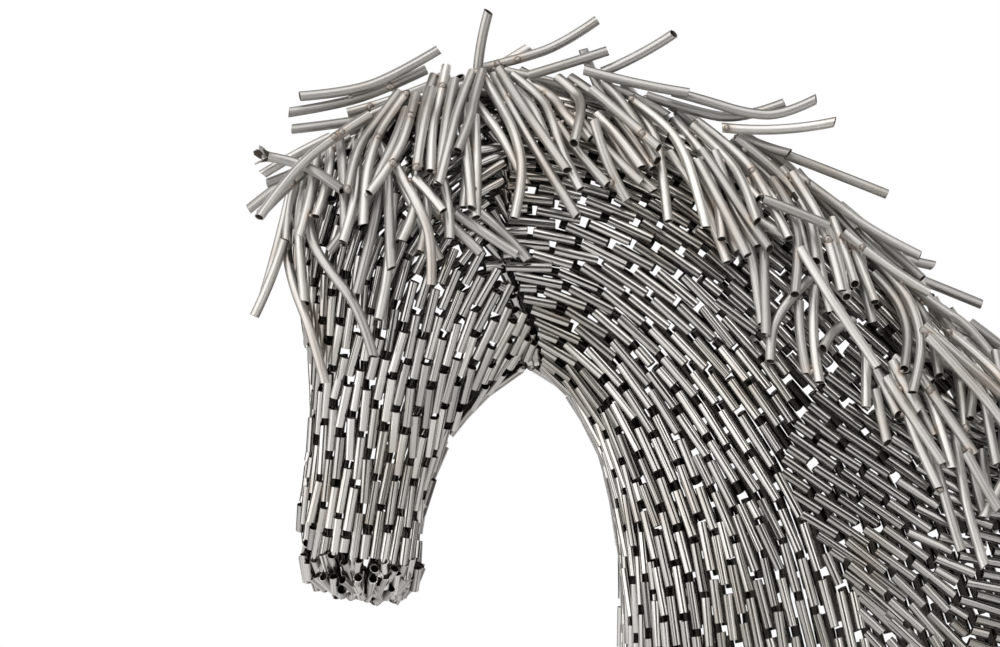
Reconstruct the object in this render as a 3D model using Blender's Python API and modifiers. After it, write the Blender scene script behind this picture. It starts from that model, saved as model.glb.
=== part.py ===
"""Horse head and arched neck, welded up from short steel pipes, with a mane of longer bent pipes.

The horse looks along -X with its head hanging, its left side faces -Y, and it is cut flat below as a
bust. Metres, +Z up, with the origin on the flat cut, under the middle of the whole sculpture.

The free form is drawn on a side-view grid: x runs from the nose towards the back of the neck and z
runs up from the flat cut. Headings are degrees below +X, so 90 hangs straight down.
"""

import math
import random

import bmesh
import bpy
import numpy as np
from mathutils import Vector
from mathutils.bvhtree import BVHTree

# Driving sizes
HORSE_HEIGHT = 0.7104  # from the flat cut to the skin at the nape
GRID_ROWS = 592  # grid squares in that height
SKIN_TUBE = 0.012  # outside diameter of the short pipes, which is the thickness of the skin
MANE_TUBE = 0.012  # outside diameter of the mane pipes
TOUCH_GAP = 0.0003  # kept between pipes that touch
SKIN_GAP = 0.0007  # kept between a pipe and the facets of the skin that it rests on

# How finely the solids are cut
SKIN_FACETS = 30
SKIN_COURSES = 20
LONGEST_SEGMENT = 0.06  # straight stretch of a bent pipe
BEND_A_SEGMENT = 26  # degrees of bend for each straight stretch
MOST_SEGMENTS = 4

# Welding
BEAD_SHARE = 0.34  # radius of a weld bead, as a share of the mane tube

GRID = HORSE_HEIGHT / GRID_ROWS
MANE_RADIUS = MANE_TUBE / 2
SECTION_POWER = 2.3  # a section is a little squarer than an ellipse

# Sections from the lips, over the poll and down the neck: name, throat side (x, z), crest side (x, z),
# half width, and how much wider the crest side is than the throat side
SECTIONS = (
    ("mouth", (402, 91), (326, 97), 27, 0.00),
    ("lips", (422, 128), (302, 136), 43, 0.00),
    ("muzzle", (424, 172), (299, 190), 47, 0.05),
    ("nose", (436, 221), (309, 262), 52, 0.10),
    ("cheek", (462, 265), (306, 338), 66, 0.10),
    ("jaw", (497, 301), (293, 418), 80, 0.05),
    ("brow", (522, 317), (306, 508), 84, 0.00),
    ("poll", (537, 319), (410, 586), 80, -0.10),
    ("nape", (547, 314), (540, 598), 74, -0.20),
    ("upper_neck", (568, 292), (672, 562), 76, -0.25),
    ("mid_neck", (593, 248), (800, 485), 88, -0.25),
    ("low_neck", (611, 182), (920, 385), 108, -0.20),
    ("chest", (620, 100), (1045, 250), 132, -0.12),
    ("cut", (620, 0), (1150, 0), 148, 0.00),
    ("below_cut", (620, -40), (1172, -40), 152, 0.00),
)
THROAT = np.array([row[1] for row in SECTIONS], float) * GRID
CREST = np.array([row[2] for row in SECTIONS], float) * GRID
HALF_WIDTH = np.array([row[3] for row in SECTIONS], float) * GRID
CREST_SWELL = np.array([row[4] for row in SECTIONS], float)
LAST_SECTION = len(SECTIONS) - 1

# Hand-bent pipes: root x, root z, reach in squares, headings at the root, at the middle and at the tip,
# how far the root stands nearer than the skin (below 0 is on the far side), how much more the tip, and
# the number of the welded piece that the pipe belongs to
FORELOCK = (
    (292, 510, 210, 120, 68, 86, 6, 2, 25),
    (285, 515, 124, 111, 98, 121, -8, -8, 26),
    (277, 450, 82, 97, 113, 115, 20, 8, 25),
    (304, 513, 123, 105, 86, 85, 0, 14, 25),
    (318, 532, 59, 160, 155, 165, 12, 6, 27),
    (300, 525, 71, 148, 141, 140, -6, -14, 28),
    (296, 522, 58, 141, 133, 132, 26, 10, 27),
    (325, 561, 78, 159, 148, 146, 14, 12, 29),
    (342, 544, 96, 80, 84, 100, 0, 6, 30),
    (378, 547, 132, 58, 62, 66, 0, 8, 31),
    (372, 582, 86, 165, 172, 174, -12, -16, 32),
    (345, 499, 97, 222, 203, 180, 4, -34, 30),
    (368, 580, 153, 150, 136, 118, 22, 34, 30),
    (423, 630, 145, 150, 160, 176, 4, 14, 33),
    (436, 650, 150, 145, 157, 186, 14, 8, 33),
    (385, 511, 117, 98, 104, 104, 0, 14, 34),
    (403, 602, 145, 133, 104, 88, 14, 14, 31),
    (416, 518, 72, 85, 100, 125, 0, 18, 31),
    (433, 619, 100, 112, 98, 80, 4, 14, 35),
    (412, 594, 109, 96, 112, 140, 8, 24, 35),
    (444, 508, 58, 66, 84, 100, 0, 10, 2),
    (418, 515, 44, 40, 52, 56, 0, 12, 31),
    (445, 633, 112, 92, 104, 76, 10, 22, 36),
    (472, 624, 120, 118, 102, 108, 14, 20, 1),
)
MANE = (
    (464, 584, 104, 82, 88, 105, 0, 8, 1),
    (454, 477, 76, 34, 34, 31, 2, 10, 2),
    (462, 602, 118, 50, 54, 76, 4, 12, 3),
    (478, 622, 163, 60, 72, 120, 0, 10, 3),
    (520, 626, 174, 31, 33, 57, -4, 6, 4),
    (575, 575, 95, 56, 47, 33, 0, 12, 5),
    (491, 619, 167, 66, 59, 59, 4, 14, 3),
    (497, 627, 126, 62, 56, 56, 12, 18, 3),
    (513, 620, 141, 18, 74, 48, 6, 16, 6),
    (558, 622, 85, 10, 88, 102, 8, 20, 5),
    (585, 650, 143, 85, 55, 62, 6, 10, 7),
    (600, 610, 98, 35, 60, 70, 0, 10, 7),
    (632, 590, 131, 33, 84, 74, 0, 12, 8),
    (631, 593, 156, 22, 66, 77, 8, 14, 8),
    (673, 572, 136, 35, 72, 92, 0, 16, 9),
    (700, 540, 120, 52, 60, 48, 0, 8, 9),
    (690, 564, 119, 34, 57, 84, 6, 14, 10),
    (747, 508, 156, 62, 90, 84, 0, 14, 10),
    (692, 566, 154, 14, 58, 62, 12, 16, 10),
    (732, 553, 156, 30, 62, 80, 0, 12, 11),
    (738, 558, 156, 36, 56, 98, 8, 16, 11),
    (760, 490, 68, 22, 22, 27, 6, 20, 10),
    (781, 526, 150, 47, 63, 90, 0, 14, 12),
    (813, 404, 96, 108, 88, 70, 4, 16, 13),
    (805, 446, 137, 63, 58, 57, 0, 8, 14),
    (850, 370, 44, 165, 140, 105, 0, 14, 15),
    (800, 525, 212, 52, 52, 76, 0, 14, 12),
    (863, 345, 60, 92, 92, 92, 2, 12, 16),
    (866, 436, 156, 38, 74, 120, 2, 22, 17),
    (900, 344, 66, 20, 22, 24, 2, 16, 18),
    (890, 332, 44, 32, 33, 31, 0, 12, 19),
    (892, 330, 130, 78, 72, 60, 0, 8, 20),
    (900, 318, 66, 62, 66, 52, 0, 6, 20),
    (915, 318, 95, 56, 57, 54, 2, 10, 19),
    (955, 320, 57, 80, 84, 88, 2, 14, 18),
    (950, 260, 136, 84, 80, 66, 0, 8, 21),
    (962, 245, 64, 62, 64, 52, 0, 6, 22),
    (911, 360, 150, 42, 40, 50, 0, 10, 17),
    (928, 360, 150, 50, 50, 62, 4, 10, 17),
    (945, 357, 130, 34, 52, 60, 2, 14, 23),
    (952, 355, 120, 36, 30, 50, 0, 16, 24),
)
STANDING_OFF = (
    (479, 622, 59, -92, -80, -68, 4, 6, 37),
    (480, 632, 128, -15, -16, -48, -4, -10, 38),
    (530, 622, 82, -8, -20, -12, 4, 12, 7),
    (488, 628, 46, -30, -30, -30, -12, -16, 38),
    (602, 616, 82, -20, -30, -38, 4, 12, 39),
    (585, 627, 107, 12, 18, -4, 6, 8, 7),
    (650, 602, 145, 20, 12, -45, 2, 12, 40),
    (676, 608, 151, 8, 18, -50, 14, 8, 40),
    (722, 568, 114, 18, -4, -18, 4, 16, 41),
    (740, 557, 53, 25, 18, 12, 4, 8, 11),
    (775, 535, 114, 24, 16, 32, 0, 6, 11),
    (798, 524, 152, 32, 40, 16, 4, 12, 12),
    (848, 480, 106, 46, 32, 0, -12, -8, 42),
    (858, 462, 62, 48, 44, 28, 0, 0, 12),
    (845, 458, 102, 42, 40, 20, 26, 14, 17),
    (880, 428, 112, 28, 18, 30, -4, -10, 42),
    (895, 410, 61, 42, 34, 33, 22, 8, 43),
    (920, 402, 103, 26, 40, 66, 4, 6, 24),
)

# Plainer pipes: the far side of the mane, and the near side behind the hand-bent ones
FAR_PAIRS = 10
FAR_FROM, FAR_TO = 5.6, 12.5
BACK_PAIRS = 4
BACK_FROM, BACK_TO = 11.4, 12.5
FILL_REACH = (85, 150)
FILL_STAND_OFF = (2, 14)
FILL_SHIFT = (0.2, 0.8)  # of the way from one pair's place to the next
PAIR_SPACING = 1.2  # between the roots of a pair, in mane tubes
FILL_LIFT = (10, 30)  # degrees from the crest's slope to the root's heading
FILL_DROOP = (15, 35)  # degrees from the root's heading to the middle's
FILL_FLICK = (-22, 24)  # degrees from the middle's heading to the tip's
FILL_SEED = 7
SLOPE_STEP = 0.05  # of a section, over which the crest's slope is taken

# Laying the pipes on each other
SIDEWAYS = np.array([0.45, 1.0, 0.45])  # a pipe makes way towards its side more than in the side view
CURVE_POINTS = 25
WIDTH_SMOOTHINGS = 6
SETTLE_ROUNDS = 60
PULLED_ROUNDS = 36  # the first of them, in which the pipe also keeps its bend
SKIN_SAMPLES = 7  # places along a segment that are kept off the skin
SETTLED = 1e-6
PULL = 0.0008  # drawn towards the skin each round, at the root
SPREAD = 0.25  # how much of a push the next points of the pipe share
CLIMB = 0.7  # how strongly a pipe climbs outwards over what is below it


def along(values, place):
    """A smooth curve through the values at whole numbers of place."""
    place = np.clip(np.asarray(place, float), 0, len(values) - 1)
    first = np.minimum(place.astype(int), len(values) - 2)
    share = place - first
    share = share.reshape(share.shape + (1,) * (values.ndim - 1))
    ends = [2 * values[:1] - values[1:2], values, 2 * values[-1:] - values[-2:-1]]
    padded = np.concatenate(ends)
    before, low = padded[first], padded[first + 1]
    high, after = padded[first + 2], padded[first + 3]
    slope = (high - before) * share
    bend = (2 * before - 5 * low + 4 * high - after) * share**2
    twist = (3 * low - before - 3 * high + after) * share**3
    return low + 0.5 * (slope + bend + twist)


def rounded(value):
    return np.sign(value) * np.abs(value) ** (2 / SECTION_POWER)


def skin_points(section, angle):
    """Points of the outer skin: angle 0 is the crest, 90 the near side, 180 the throat."""
    middle = (along(THROAT, section) + along(CREST, section)) / 2
    half = (along(CREST, section) - along(THROAT, section)) / 2
    up = rounded(np.cos(angle))
    out = rounded(np.sin(angle)) * (1 + along(CREST_SWELL, section) * up)
    x = middle[..., 0] + half[..., 0] * up
    y = -along(HALF_WIDTH, section) * out
    z = middle[..., 1] + half[..., 1] * up
    return np.stack([x, y, z], -1)


def half_width_at(point):
    """Half the width of the skin at a point of the side view, and 0 outside its outline."""
    place = np.linspace(0, LAST_SECTION, 40 * LAST_SECTION + 1)
    throat = along(THROAT, place)
    chord = along(CREST, place) - throat
    to_point = point - throat
    length = (chord**2).sum(-1)
    aside = np.abs(chord[:, 0] * to_point[:, 1] - chord[:, 1] * to_point[:, 0]) / np.sqrt(length)
    share = (chord * to_point).sum(-1) / length
    best = np.argmin(aside + np.where(share < -0.2, 1.0, 0.0))
    up = 2 * share[best] - 1
    if abs(up) >= 1:
        return 0.0
    width = along(HALF_WIDTH, place[best]) * (1 - abs(up) ** SECTION_POWER) ** (1 / SECTION_POWER)
    return float(width * (1 + along(CREST_SWELL, place[best]) * up))


def material(name, colour, roughness):
    made = bpy.data.materials.new(name)
    made.use_nodes = True
    shader = made.node_tree.nodes["Principled BSDF"]
    shader.inputs["Base Color"].default_value = (*colour, 1)
    shader.inputs["Metallic"].default_value = 1
    shader.inputs["Roughness"].default_value = roughness
    return made


def closed_loft(bm, rings):
    """Joins rings of points into one open tube of faces, and returns the rings of vertices."""
    rows = [[bm.verts.new(point) for point in ring] for ring in rings]
    for low, high in zip(rows, rows[1:]):
        for i in range(len(low)):
            j = (i + 1) % len(low)
            bm.faces.new((low[i], low[j], high[j], high[i]))
    return rows


def skin_surface():
    """The outer skin as an open mesh, closed at the mouth and open below."""
    angles = np.linspace(0, 2 * math.pi, SKIN_FACETS, endpoint=False)
    places = np.linspace(0, LAST_SECTION, SKIN_COURSES + 1)
    bm = bmesh.new()
    rings = [skin_points(np.full(SKIN_FACETS, place), angles) for place in places]
    rows = closed_loft(bm, rings)
    middle = bm.verts.new(rings[0].mean(0))
    for i in range(SKIN_FACETS):
        bm.faces.new((rows[0][(i + 1) % SKIN_FACETS], rows[0][i], middle))
    bmesh.ops.recalc_face_normals(bm, faces=bm.faces)
    return bm


def build_skin(parts, cutters, steel):
    """The welded skin as one shell as thick as its pipes, cut flat below."""
    bm = skin_surface()
    tree = BVHTree.FromBMesh(bm)
    mesh = bpy.data.meshes.new("pipe_skin")
    bm.to_mesh(mesh)
    bm.free()
    mesh.shade_smooth()
    skin = bpy.data.objects.new("pipe_skin", mesh)
    skin.data.materials.append(steel)
    parts.objects.link(skin)

    wall = skin.modifiers.new("wall", "SOLIDIFY")
    wall.thickness = SKIN_TUBE
    wall.offset = -1
    wall.use_even_offset = True

    drop = -float(THROAT[-1][1]) * 2
    bpy.ops.mesh.primitive_cube_add(size=1)
    cutter = bpy.context.object
    cutter.name = "flat_cut"
    cutter.scale = (3 * HORSE_HEIGHT, 2 * HORSE_HEIGHT, drop)
    cutter.location = (HORSE_HEIGHT, 0, -drop / 2)
    cutter.hide_render = True
    cutter.display_type = "WIRE"
    bpy.context.collection.objects.unlink(cutter)
    cutters.objects.link(cutter)
    cut = skin.modifiers.new("flat_cut", "BOOLEAN")
    cut.operation = "DIFFERENCE"
    cut.object = cutter
    return skin, tree


def heading_path(root, reach, headings, count):
    """Points of a bent pipe in the side view, from its root heading to its tip heading."""
    share = (np.arange(count - 1) + 0.5) / (count - 1)
    first, middle, last = headings
    heading = first * (1 - share) * (1 - 2 * share) + 4 * middle * share * (1 - share)
    heading = np.radians(heading + last * share * (2 * share - 1))
    steps = np.stack([np.cos(heading), -np.sin(heading)], -1) * reach / (count - 1)
    return np.concatenate([[root], root + np.cumsum(steps, 0)])


def spaced(points, count):
    """The same curve with its points evenly spaced."""
    steps = np.linalg.norm(np.diff(points, axis=0), axis=1)
    travelled = np.concatenate([[0], np.cumsum(steps)])
    wanted = np.linspace(0, travelled[-1], count)
    return np.stack([np.interp(wanted, travelled, points[:, axis]) for axis in range(3)], -1)


def draped(row, side):
    """A bent pipe's centreline, hung over one side of the skin: side 1 is near, -1 is far."""
    count = CURVE_POINTS
    path = heading_path(np.array(row[:2], float), row[2], row[3:6], count) * GRID
    width = np.array([half_width_at(point) for point in path])
    for _ in range(WIDTH_SMOOTHINGS):
        width[1:-1] = (width[:-2] + 2 * width[1:-1] + width[2:]) / 4
    stand_off = np.linspace(row[6], row[6] + row[7], count) * GRID
    depth = width + MANE_RADIUS + np.abs(stand_off)
    points = np.stack([path[:, 0], -side * depth, path[:, 1]], -1)
    length = np.linalg.norm(np.diff(points, axis=0), axis=1).sum()
    turn = abs(row[4] - row[3]) + abs(row[5] - row[4])
    segments = max(round(turn / BEND_A_SEGMENT) + 1, round(length / LONGEST_SEGMENT), 2)
    segments = min(segments, MOST_SEGMENTS)
    return spaced(points, segments + 1)


def nearest_on_segments(start, end, others, other_ends):
    """Shares along one segment and along each of the others where they come closest."""
    u = end - start
    v = other_ends - others
    w = start - others
    a = u @ u
    b = v @ u
    c = (v * v).sum(-1)
    d = w @ u
    e = (v * w).sum(-1)
    spread = a * c - b * b
    safe = np.maximum(spread, 1e-12)
    s = np.where(spread > 1e-12, np.clip((b * e - c * d) / safe, 0, 1), 0.5)
    t = np.clip((b * s + e) / c, 0, 1)
    s = np.clip((b * t - d) / a, 0, 1)
    return s, t


class Mane:
    """The pipes laid so far, each resting on the skin and on the pipes before it."""

    def __init__(self, skin_tree):
        self.skin = skin_tree
        self.pipes = []
        self.starts = np.zeros((0, 3))
        self.ends = np.zeros((0, 3))

    def away_from_skin(self, point, clearance):
        """The outward direction at the point, and how far it has still to move."""
        found, normal, _, _ = self.skin.find_nearest(Vector(point))
        offset = np.array(Vector(point) - found)
        outward = np.array(normal)
        height = float(offset @ outward)
        if height > 0 and np.linalg.norm(offset) > 1e-6:
            outward = offset / np.linalg.norm(offset)
            height = float(np.linalg.norm(offset))
        return outward, clearance - height

    def push_off_skin(self, points):
        moved = 0.0
        clearance = MANE_RADIUS + SKIN_GAP
        for i in range(len(points) - 1):
            for share in np.linspace(0, 1, SKIN_SAMPLES):
                point = points[i] * (1 - share) + points[i + 1] * share
                outward, lack = self.away_from_skin(point, clearance)
                if lack > 0:
                    weight = (1 - share) ** 2 + share**2
                    points[i] += outward * lack * (1 - share) / weight
                    points[i + 1] += outward * lack * share / weight
                    moved = max(moved, lack)
        return moved

    def push_off_pipes(self, points, outward_share, side):
        moved = 0.0
        clearance = MANE_TUBE + TOUCH_GAP
        if not len(self.starts):
            return moved
        for i in range(len(points) - 1):
            s, t = nearest_on_segments(points[i], points[i + 1], self.starts, self.ends)
            mine = points[i] + s[:, None] * (points[i + 1] - points[i])
            theirs = self.starts + t[:, None] * (self.ends - self.starts)
            apart = mine - theirs
            distance = np.linalg.norm(apart, axis=1)
            worst = int(np.argmin(distance))
            lack = clearance - distance[worst]
            if lack <= 0:
                continue
            outward, _ = self.away_from_skin(mine[worst], 0)
            outward[1] -= side
            push = apart[worst] / max(distance[worst], 1e-6) + outward_share * outward
            push *= SIDEWAYS
            push /= np.linalg.norm(push)
            share = s[worst]
            weight = (1 - share) ** 2 + share**2
            points[i] += push * lack * (1 - share) / weight
            points[i + 1] += push * lack * share / weight
            moved = max(moved, lack)
        return moved

    def pull_down(self, points):
        """Draws the root half of a pipe towards the skin."""
        shares = np.linspace(1, 0, len(points))
        for point, share in zip(points, shares):
            outward, lack = self.away_from_skin(point, MANE_RADIUS + SKIN_GAP)
            if lack < 0:
                point -= outward * min(PULL * share**2, -lack)

    def settle(self, points, outward_share, side, pulled):
        """Moves a pipe off the skin and off the others, keeping its bend, and says what overlap is left."""
        wanted = points.copy()
        moved = 0.0
        for turn in range(SETTLE_ROUNDS):
            free = turn < PULLED_ROUNDS
            if free and pulled:
                self.pull_down(points)
            moved = self.push_off_pipes(points, outward_share, side)
            moved = max(moved, self.push_off_skin(points))
            if moved < SETTLED and not (free and pulled):
                break
            if free:
                shift = points - wanted
                shift[1:-1] += SPREAD * ((shift[:-2] + shift[2:]) / 2 - shift[1:-1])
                shift[0] += SPREAD * (shift[1] - shift[0])
                shift[-1] += SPREAD * (shift[-2] - shift[-1])
                points = wanted + shift
        return points, moved

    def lay(self, points, side):
        """Lays one more pipe. Where it can't settle, it climbs more steeply over what is below it."""
        outward_share = CLIMB
        points, moved = self.settle(points, outward_share, side, True)
        while moved >= SETTLED:
            outward_share *= 2
            points, moved = self.settle(points, outward_share, side, False)
        self.pipes.append(points)
        self.starts = np.concatenate([self.starts, points[:-1]])
        self.ends = np.concatenate([self.ends, points[1:]])


def fill_rows(pairs, first, last, chance):
    """Plainer pipes, rooted in pairs along the crest, falling back and down like the hand-bent ones."""
    rows = []
    for pair in range(pairs):
        place = first + (last - first) * (pair + chance.uniform(*FILL_SHIFT)) / pairs
        for _ in range(2):
            root = along(CREST, place)
            slope = (along(CREST, place + SLOPE_STEP) - root) / SLOPE_STEP
            start = math.degrees(math.atan2(-slope[1], slope[0])) + chance.uniform(*FILL_LIFT)
            middle = start + chance.uniform(*FILL_DROOP)
            end = middle + chance.uniform(*FILL_FLICK)
            reach = chance.uniform(*FILL_REACH)
            stand_off = chance.uniform(*FILL_STAND_OFF)
            rows.append((*(root / GRID), reach, start, middle, end, 0, stand_off, f"pair {pair}"))
            place += PAIR_SPACING * MANE_TUBE / np.linalg.norm(slope)
    return rows


def mane_rows():
    """Every pipe of the mane, inner ones first: its kind, its row, and 1 for the near side or -1."""
    chance = random.Random(FILL_SEED)
    far = fill_rows(FAR_PAIRS, FAR_FROM, FAR_TO, chance)
    back = fill_rows(BACK_PAIRS, BACK_FROM, BACK_TO, chance)
    rows = [("far_mane", row, -1) for row in far]
    rows += [("near_mane", row, 1) for row in back]
    for kind, table in (("near_mane", MANE), ("forelock", FORELOCK), ("crest", STANDING_OFF)):
        rows += [(kind, row, 1 if row[6] >= 0 else -1) for row in table]
    return rows


def lay_mane(skin_tree, rows):
    mane = Mane(skin_tree)
    for _, row, side in rows:
        mane.lay(draped(row, side), side)
    return mane


def welded_pieces(rows):
    """The pipes of each welded piece, in the order that they are laid."""
    pieces = {}
    for index, (_, row, side) in enumerate(rows):
        label = (row[-1], side) if isinstance(row[-1], str) else row[-1]
        pieces.setdefault(label, []).append(index)
    return list(pieces.values())


def weld_between(pipe, others):
    """Where a pipe comes closest to one of the others, side by side, and the gap that a weld has to fill."""
    best = None
    for start, end in zip(pipe[:-1], pipe[1:]):
        for other in others:
            s, t = nearest_on_segments(start, end, other[:-1], other[1:])
            mine = start + s[:, None] * (end - start)
            theirs = other[:-1] + t[:, None] * (other[1:] - other[:-1])
            apart = mine - theirs
            distance = np.linalg.norm(apart, axis=1)
            lengthwise = np.abs(apart @ (end - start)) / np.linalg.norm(end - start)
            beside = other[1:] - other[:-1]
            beside /= np.linalg.norm(beside, axis=1)[:, None]
            cost = distance + np.maximum(lengthwise, np.abs((apart * beside).sum(-1)))
            least = int(np.argmin(cost))
            if best is None or cost[least] < best[0]:
                best = (cost[least], (mine[least] + theirs[least]) / 2)
    return best[1], best[0] - MANE_TUBE


def pipe_curve(name, points, steel):
    curve = bpy.data.curves.new(name, "CURVE")
    curve.dimensions = "3D"
    curve.bevel_depth = MANE_RADIUS
    curve.bevel_resolution = 1
    curve.use_fill_caps = True
    spline = curve.splines.new("POLY")
    spline.points.add(len(points) - 1)
    for target, point in zip(spline.points, points):
        target.co = (*point, 1)
    curve.materials.append(steel)
    return bpy.data.objects.new(name, curve)


def welded_mesh(obj):
    """The curve as a closed mesh object, with its caps joined on."""
    bpy.context.scene.collection.objects.link(obj)
    graph = bpy.context.evaluated_depsgraph_get()
    mesh = bpy.data.meshes.new_from_object(obj.evaluated_get(graph))
    bm = bmesh.new()
    bm.from_mesh(mesh)
    bmesh.ops.remove_doubles(bm, verts=bm.verts, dist=1e-6)
    bmesh.ops.recalc_face_normals(bm, faces=bm.faces)
    bm.to_mesh(mesh)
    bm.free()
    name = obj.name
    bpy.data.objects.remove(obj)
    return bpy.data.objects.new(name, mesh)


def weld_bead(name, place, gap):
    bm = bmesh.new()
    radius = MANE_TUBE * BEAD_SHARE + gap / 2
    bmesh.ops.create_uvsphere(bm, u_segments=4, v_segments=3, radius=radius)
    bmesh.ops.translate(bm, verts=bm.verts, vec=Vector(place))
    mesh = bpy.data.meshes.new(name)
    bm.to_mesh(mesh)
    bm.free()
    return bpy.data.objects.new(name, mesh)


def build_mane(parts, cutters, mane, rows, steel):
    """One object for each welded piece of the mane: a pipe, or pipes joined by weld beads."""
    numbers = {}
    for members in welded_pieces(rows):
        kind = rows[members[0]][0]
        numbers[kind] = numbers.get(kind, 0) + 1
        name = f"{kind}_{numbers[kind]:02d}"
        pipes = [mane.pipes[index] for index in members]
        curves = [pipe_curve(name, pipe, steel) for pipe in pipes]
        if len(curves) == 1:
            parts.objects.link(curves[0])
            continue
        pieces = [welded_mesh(curve) for curve in curves]
        for number in range(1, len(pipes)):
            place, gap = weld_between(pipes[number], pipes[:number])
            pieces.append(weld_bead(f"{name}_bead", place, gap))
        base = pieces[0]
        base.name = name
        parts.objects.link(base)
        for piece in pieces[1:]:
            cutters.objects.link(piece)
            piece.hide_render = True
            piece.display_type = "WIRE"
            weld = base.modifiers.new("weld", "BOOLEAN")
            weld.operation = "UNION"
            weld.object = piece


def centre_on_origin():
    """Puts the origin under the middle of the whole sculpture."""
    bpy.context.view_layer.update()
    graph = bpy.context.evaluated_depsgraph_get()
    corners = []
    for obj in bpy.data.objects:
        if obj.hide_render:
            continue
        evaluated = obj.evaluated_get(graph)
        mesh = evaluated.to_mesh()
        points = np.empty(len(mesh.vertices) * 3, np.float32)
        mesh.vertices.foreach_get("co", points)
        points = points.reshape(-1, 3)
        corners += [points.min(0), points.max(0)]
        evaluated.to_mesh_clear()
    middle = (np.min(corners, 0) + np.max(corners, 0)) / 2
    for obj in bpy.data.objects:
        obj.location.x -= float(middle[0])
        obj.location.y -= float(middle[1])


def main():
    for obj in list(bpy.data.objects):
        bpy.data.objects.remove(obj)
    parts = bpy.data.collections.new("steel_pipe_horse")
    cutters = bpy.data.collections.new("cutters")
    bpy.context.scene.collection.children.link(parts)
    bpy.context.scene.collection.children.link(cutters)
    polished = material("polished_pipe", (0.60, 0.57, 0.54), 0.28)
    satin = material("satin_pipe", (0.66, 0.63, 0.60), 0.38)
    _, skin_tree = build_skin(parts, cutters, polished)
    rows = mane_rows()
    mane = lay_mane(skin_tree, rows)
    build_mane(parts, cutters, mane, rows, satin)
    centre_on_origin()


main()
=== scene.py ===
"""Looks of the welded pipe horse: short pipes in staggered columns, and a mane of bent pipes.

The skin, the mane's rows and the rule that lays them are the same as in the solids. The short pipes run
in columns down the form, from the lips to the flat cut, and each column bends straight pipes round it.
More bent pipes, which the solids don't have, fill the room that the mane's rows leave.
Metres, +Z up. The side-view grid and the headings are those of the solids.
"""

import math
import random

import bmesh
import bpy
import numpy as np
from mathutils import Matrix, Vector
from mathutils.bvhtree import BVHTree


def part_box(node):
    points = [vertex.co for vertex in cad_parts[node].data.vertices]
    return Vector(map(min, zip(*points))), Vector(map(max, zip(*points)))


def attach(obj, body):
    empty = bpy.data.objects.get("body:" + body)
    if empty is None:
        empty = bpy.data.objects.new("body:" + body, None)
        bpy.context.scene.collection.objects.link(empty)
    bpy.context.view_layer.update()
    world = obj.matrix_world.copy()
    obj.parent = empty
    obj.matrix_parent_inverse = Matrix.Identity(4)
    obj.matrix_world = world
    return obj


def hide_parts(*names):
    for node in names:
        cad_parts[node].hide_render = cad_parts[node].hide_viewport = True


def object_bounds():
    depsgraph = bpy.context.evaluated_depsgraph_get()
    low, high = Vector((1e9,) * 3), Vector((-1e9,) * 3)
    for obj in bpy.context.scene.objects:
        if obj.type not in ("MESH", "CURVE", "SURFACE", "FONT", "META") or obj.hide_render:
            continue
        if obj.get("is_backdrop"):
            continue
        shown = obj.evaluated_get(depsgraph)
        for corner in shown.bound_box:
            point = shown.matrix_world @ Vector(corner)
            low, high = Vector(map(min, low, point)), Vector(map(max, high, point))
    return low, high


# Sizes of the solids, repeated
HORSE_HEIGHT = 0.7104  # from the flat cut to the skin at the nape
GRID = HORSE_HEIGHT / 592
SKIN_TUBE = 0.012
MANE_TUBE = 0.012
TOUCH_GAP = 0.0003
SKIN_GAP = 0.0007
SKIN_FACETS = 30
SKIN_COURSES = 20
LONGEST_SEGMENT = 0.06
BEND_A_SEGMENT = 26
MOST_SEGMENTS = 4
SKIN_RADIUS = SKIN_TUBE / 2
MANE_RADIUS = MANE_TUBE / 2
SECTION_POWER = 2.3
PLACES_A_SECTION = 40  # where the skin's width is looked up
BELOW_THROAT = -0.2  # this far out, a place isn't measured from that section
TINY, TINY_LENGTH, TINY_SPREAD = 1e-6, 1e-9, 1e-12  # so that nothing is divided by nothing

# Pipes as they are drawn
TUBE_WALL = 0.001
SKIN_SIDES = 16
MANE_SIDES = 20
MANE_RINGS = 22
MANE_INNER_RINGS = 8
BEND_SAMPLES = 24  # for each corner of a bent pipe
FIRST_ACROSS = (0.31, 0.17, 0.93)  # a direction that no pipe runs in
OUTSIDE, RIM, INSIDE, BEAD = 0.0, 1.0, 2.0, 3.0  # which part of the mesh a face belongs to
STREAK_SHIFT = 3.0
SKIN_SEED, MANE_SEED = 5, 11

# Columns of short pipes
NEAR_PITCH, SHOULDER_PITCH, FAR_PITCH = 0.0128, 0.0144, 0.0119
SHOULDER_MARGIN, FAR_MARGIN = 0.3, 0.75  # from a sheet's edge to its first column, in pitches
NEAR_BOUNDS = (0.72, 1.36, 0.20)  # in pitches: a column ends, a new one begins, and how unevenly
SHOULDER_BOUNDS = (0.80, 1.36, 0.16)
FAR_BOUNDS = (0.60, 1.22, 0.10)
COLUMN_DRIFT = 0.16  # how steeply a column moves over to even out its gaps
DRIFT_SHARE = 0.5  # of its way to the middle between its neighbours
ROWS_A_SECTION = 24
COLUMN_SAMPLES = 181
HEAD_LENGTHS = (0.042, 0.051, 0.060)  # shortest, usual and longest
NECK_LENGTHS = (0.046, 0.058, 0.071)
END_GAP = (0.0075, 0.0140)
GAP_MIDDLE = 0.7  # of the least gap, where a joint is counted
SHORTEST = 0.020
LENGTH_STEP = 0.002  # between the lengths that are tried
STAGGER = 0.026
MOST_SAG = 0.003
SAG_COST, LENGTH_COST, CHANCE_COST = 400, 0.4, 0.12
STOPPED = 2e-5  # rows this close together end a column
SHORTEST_LINE = 8
LIFTED, TURNED, RAISED = 0.02, 0.02, 0.0005  # how far short pipes are out of line
SLOPED_CUT = 0.12
LYING = 0.2  # pipes flatter than this aren't cut by the floor
HEAD_TONE, SHOULDER_TONE = 0.85, 0.12  # their pipes are duller
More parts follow.
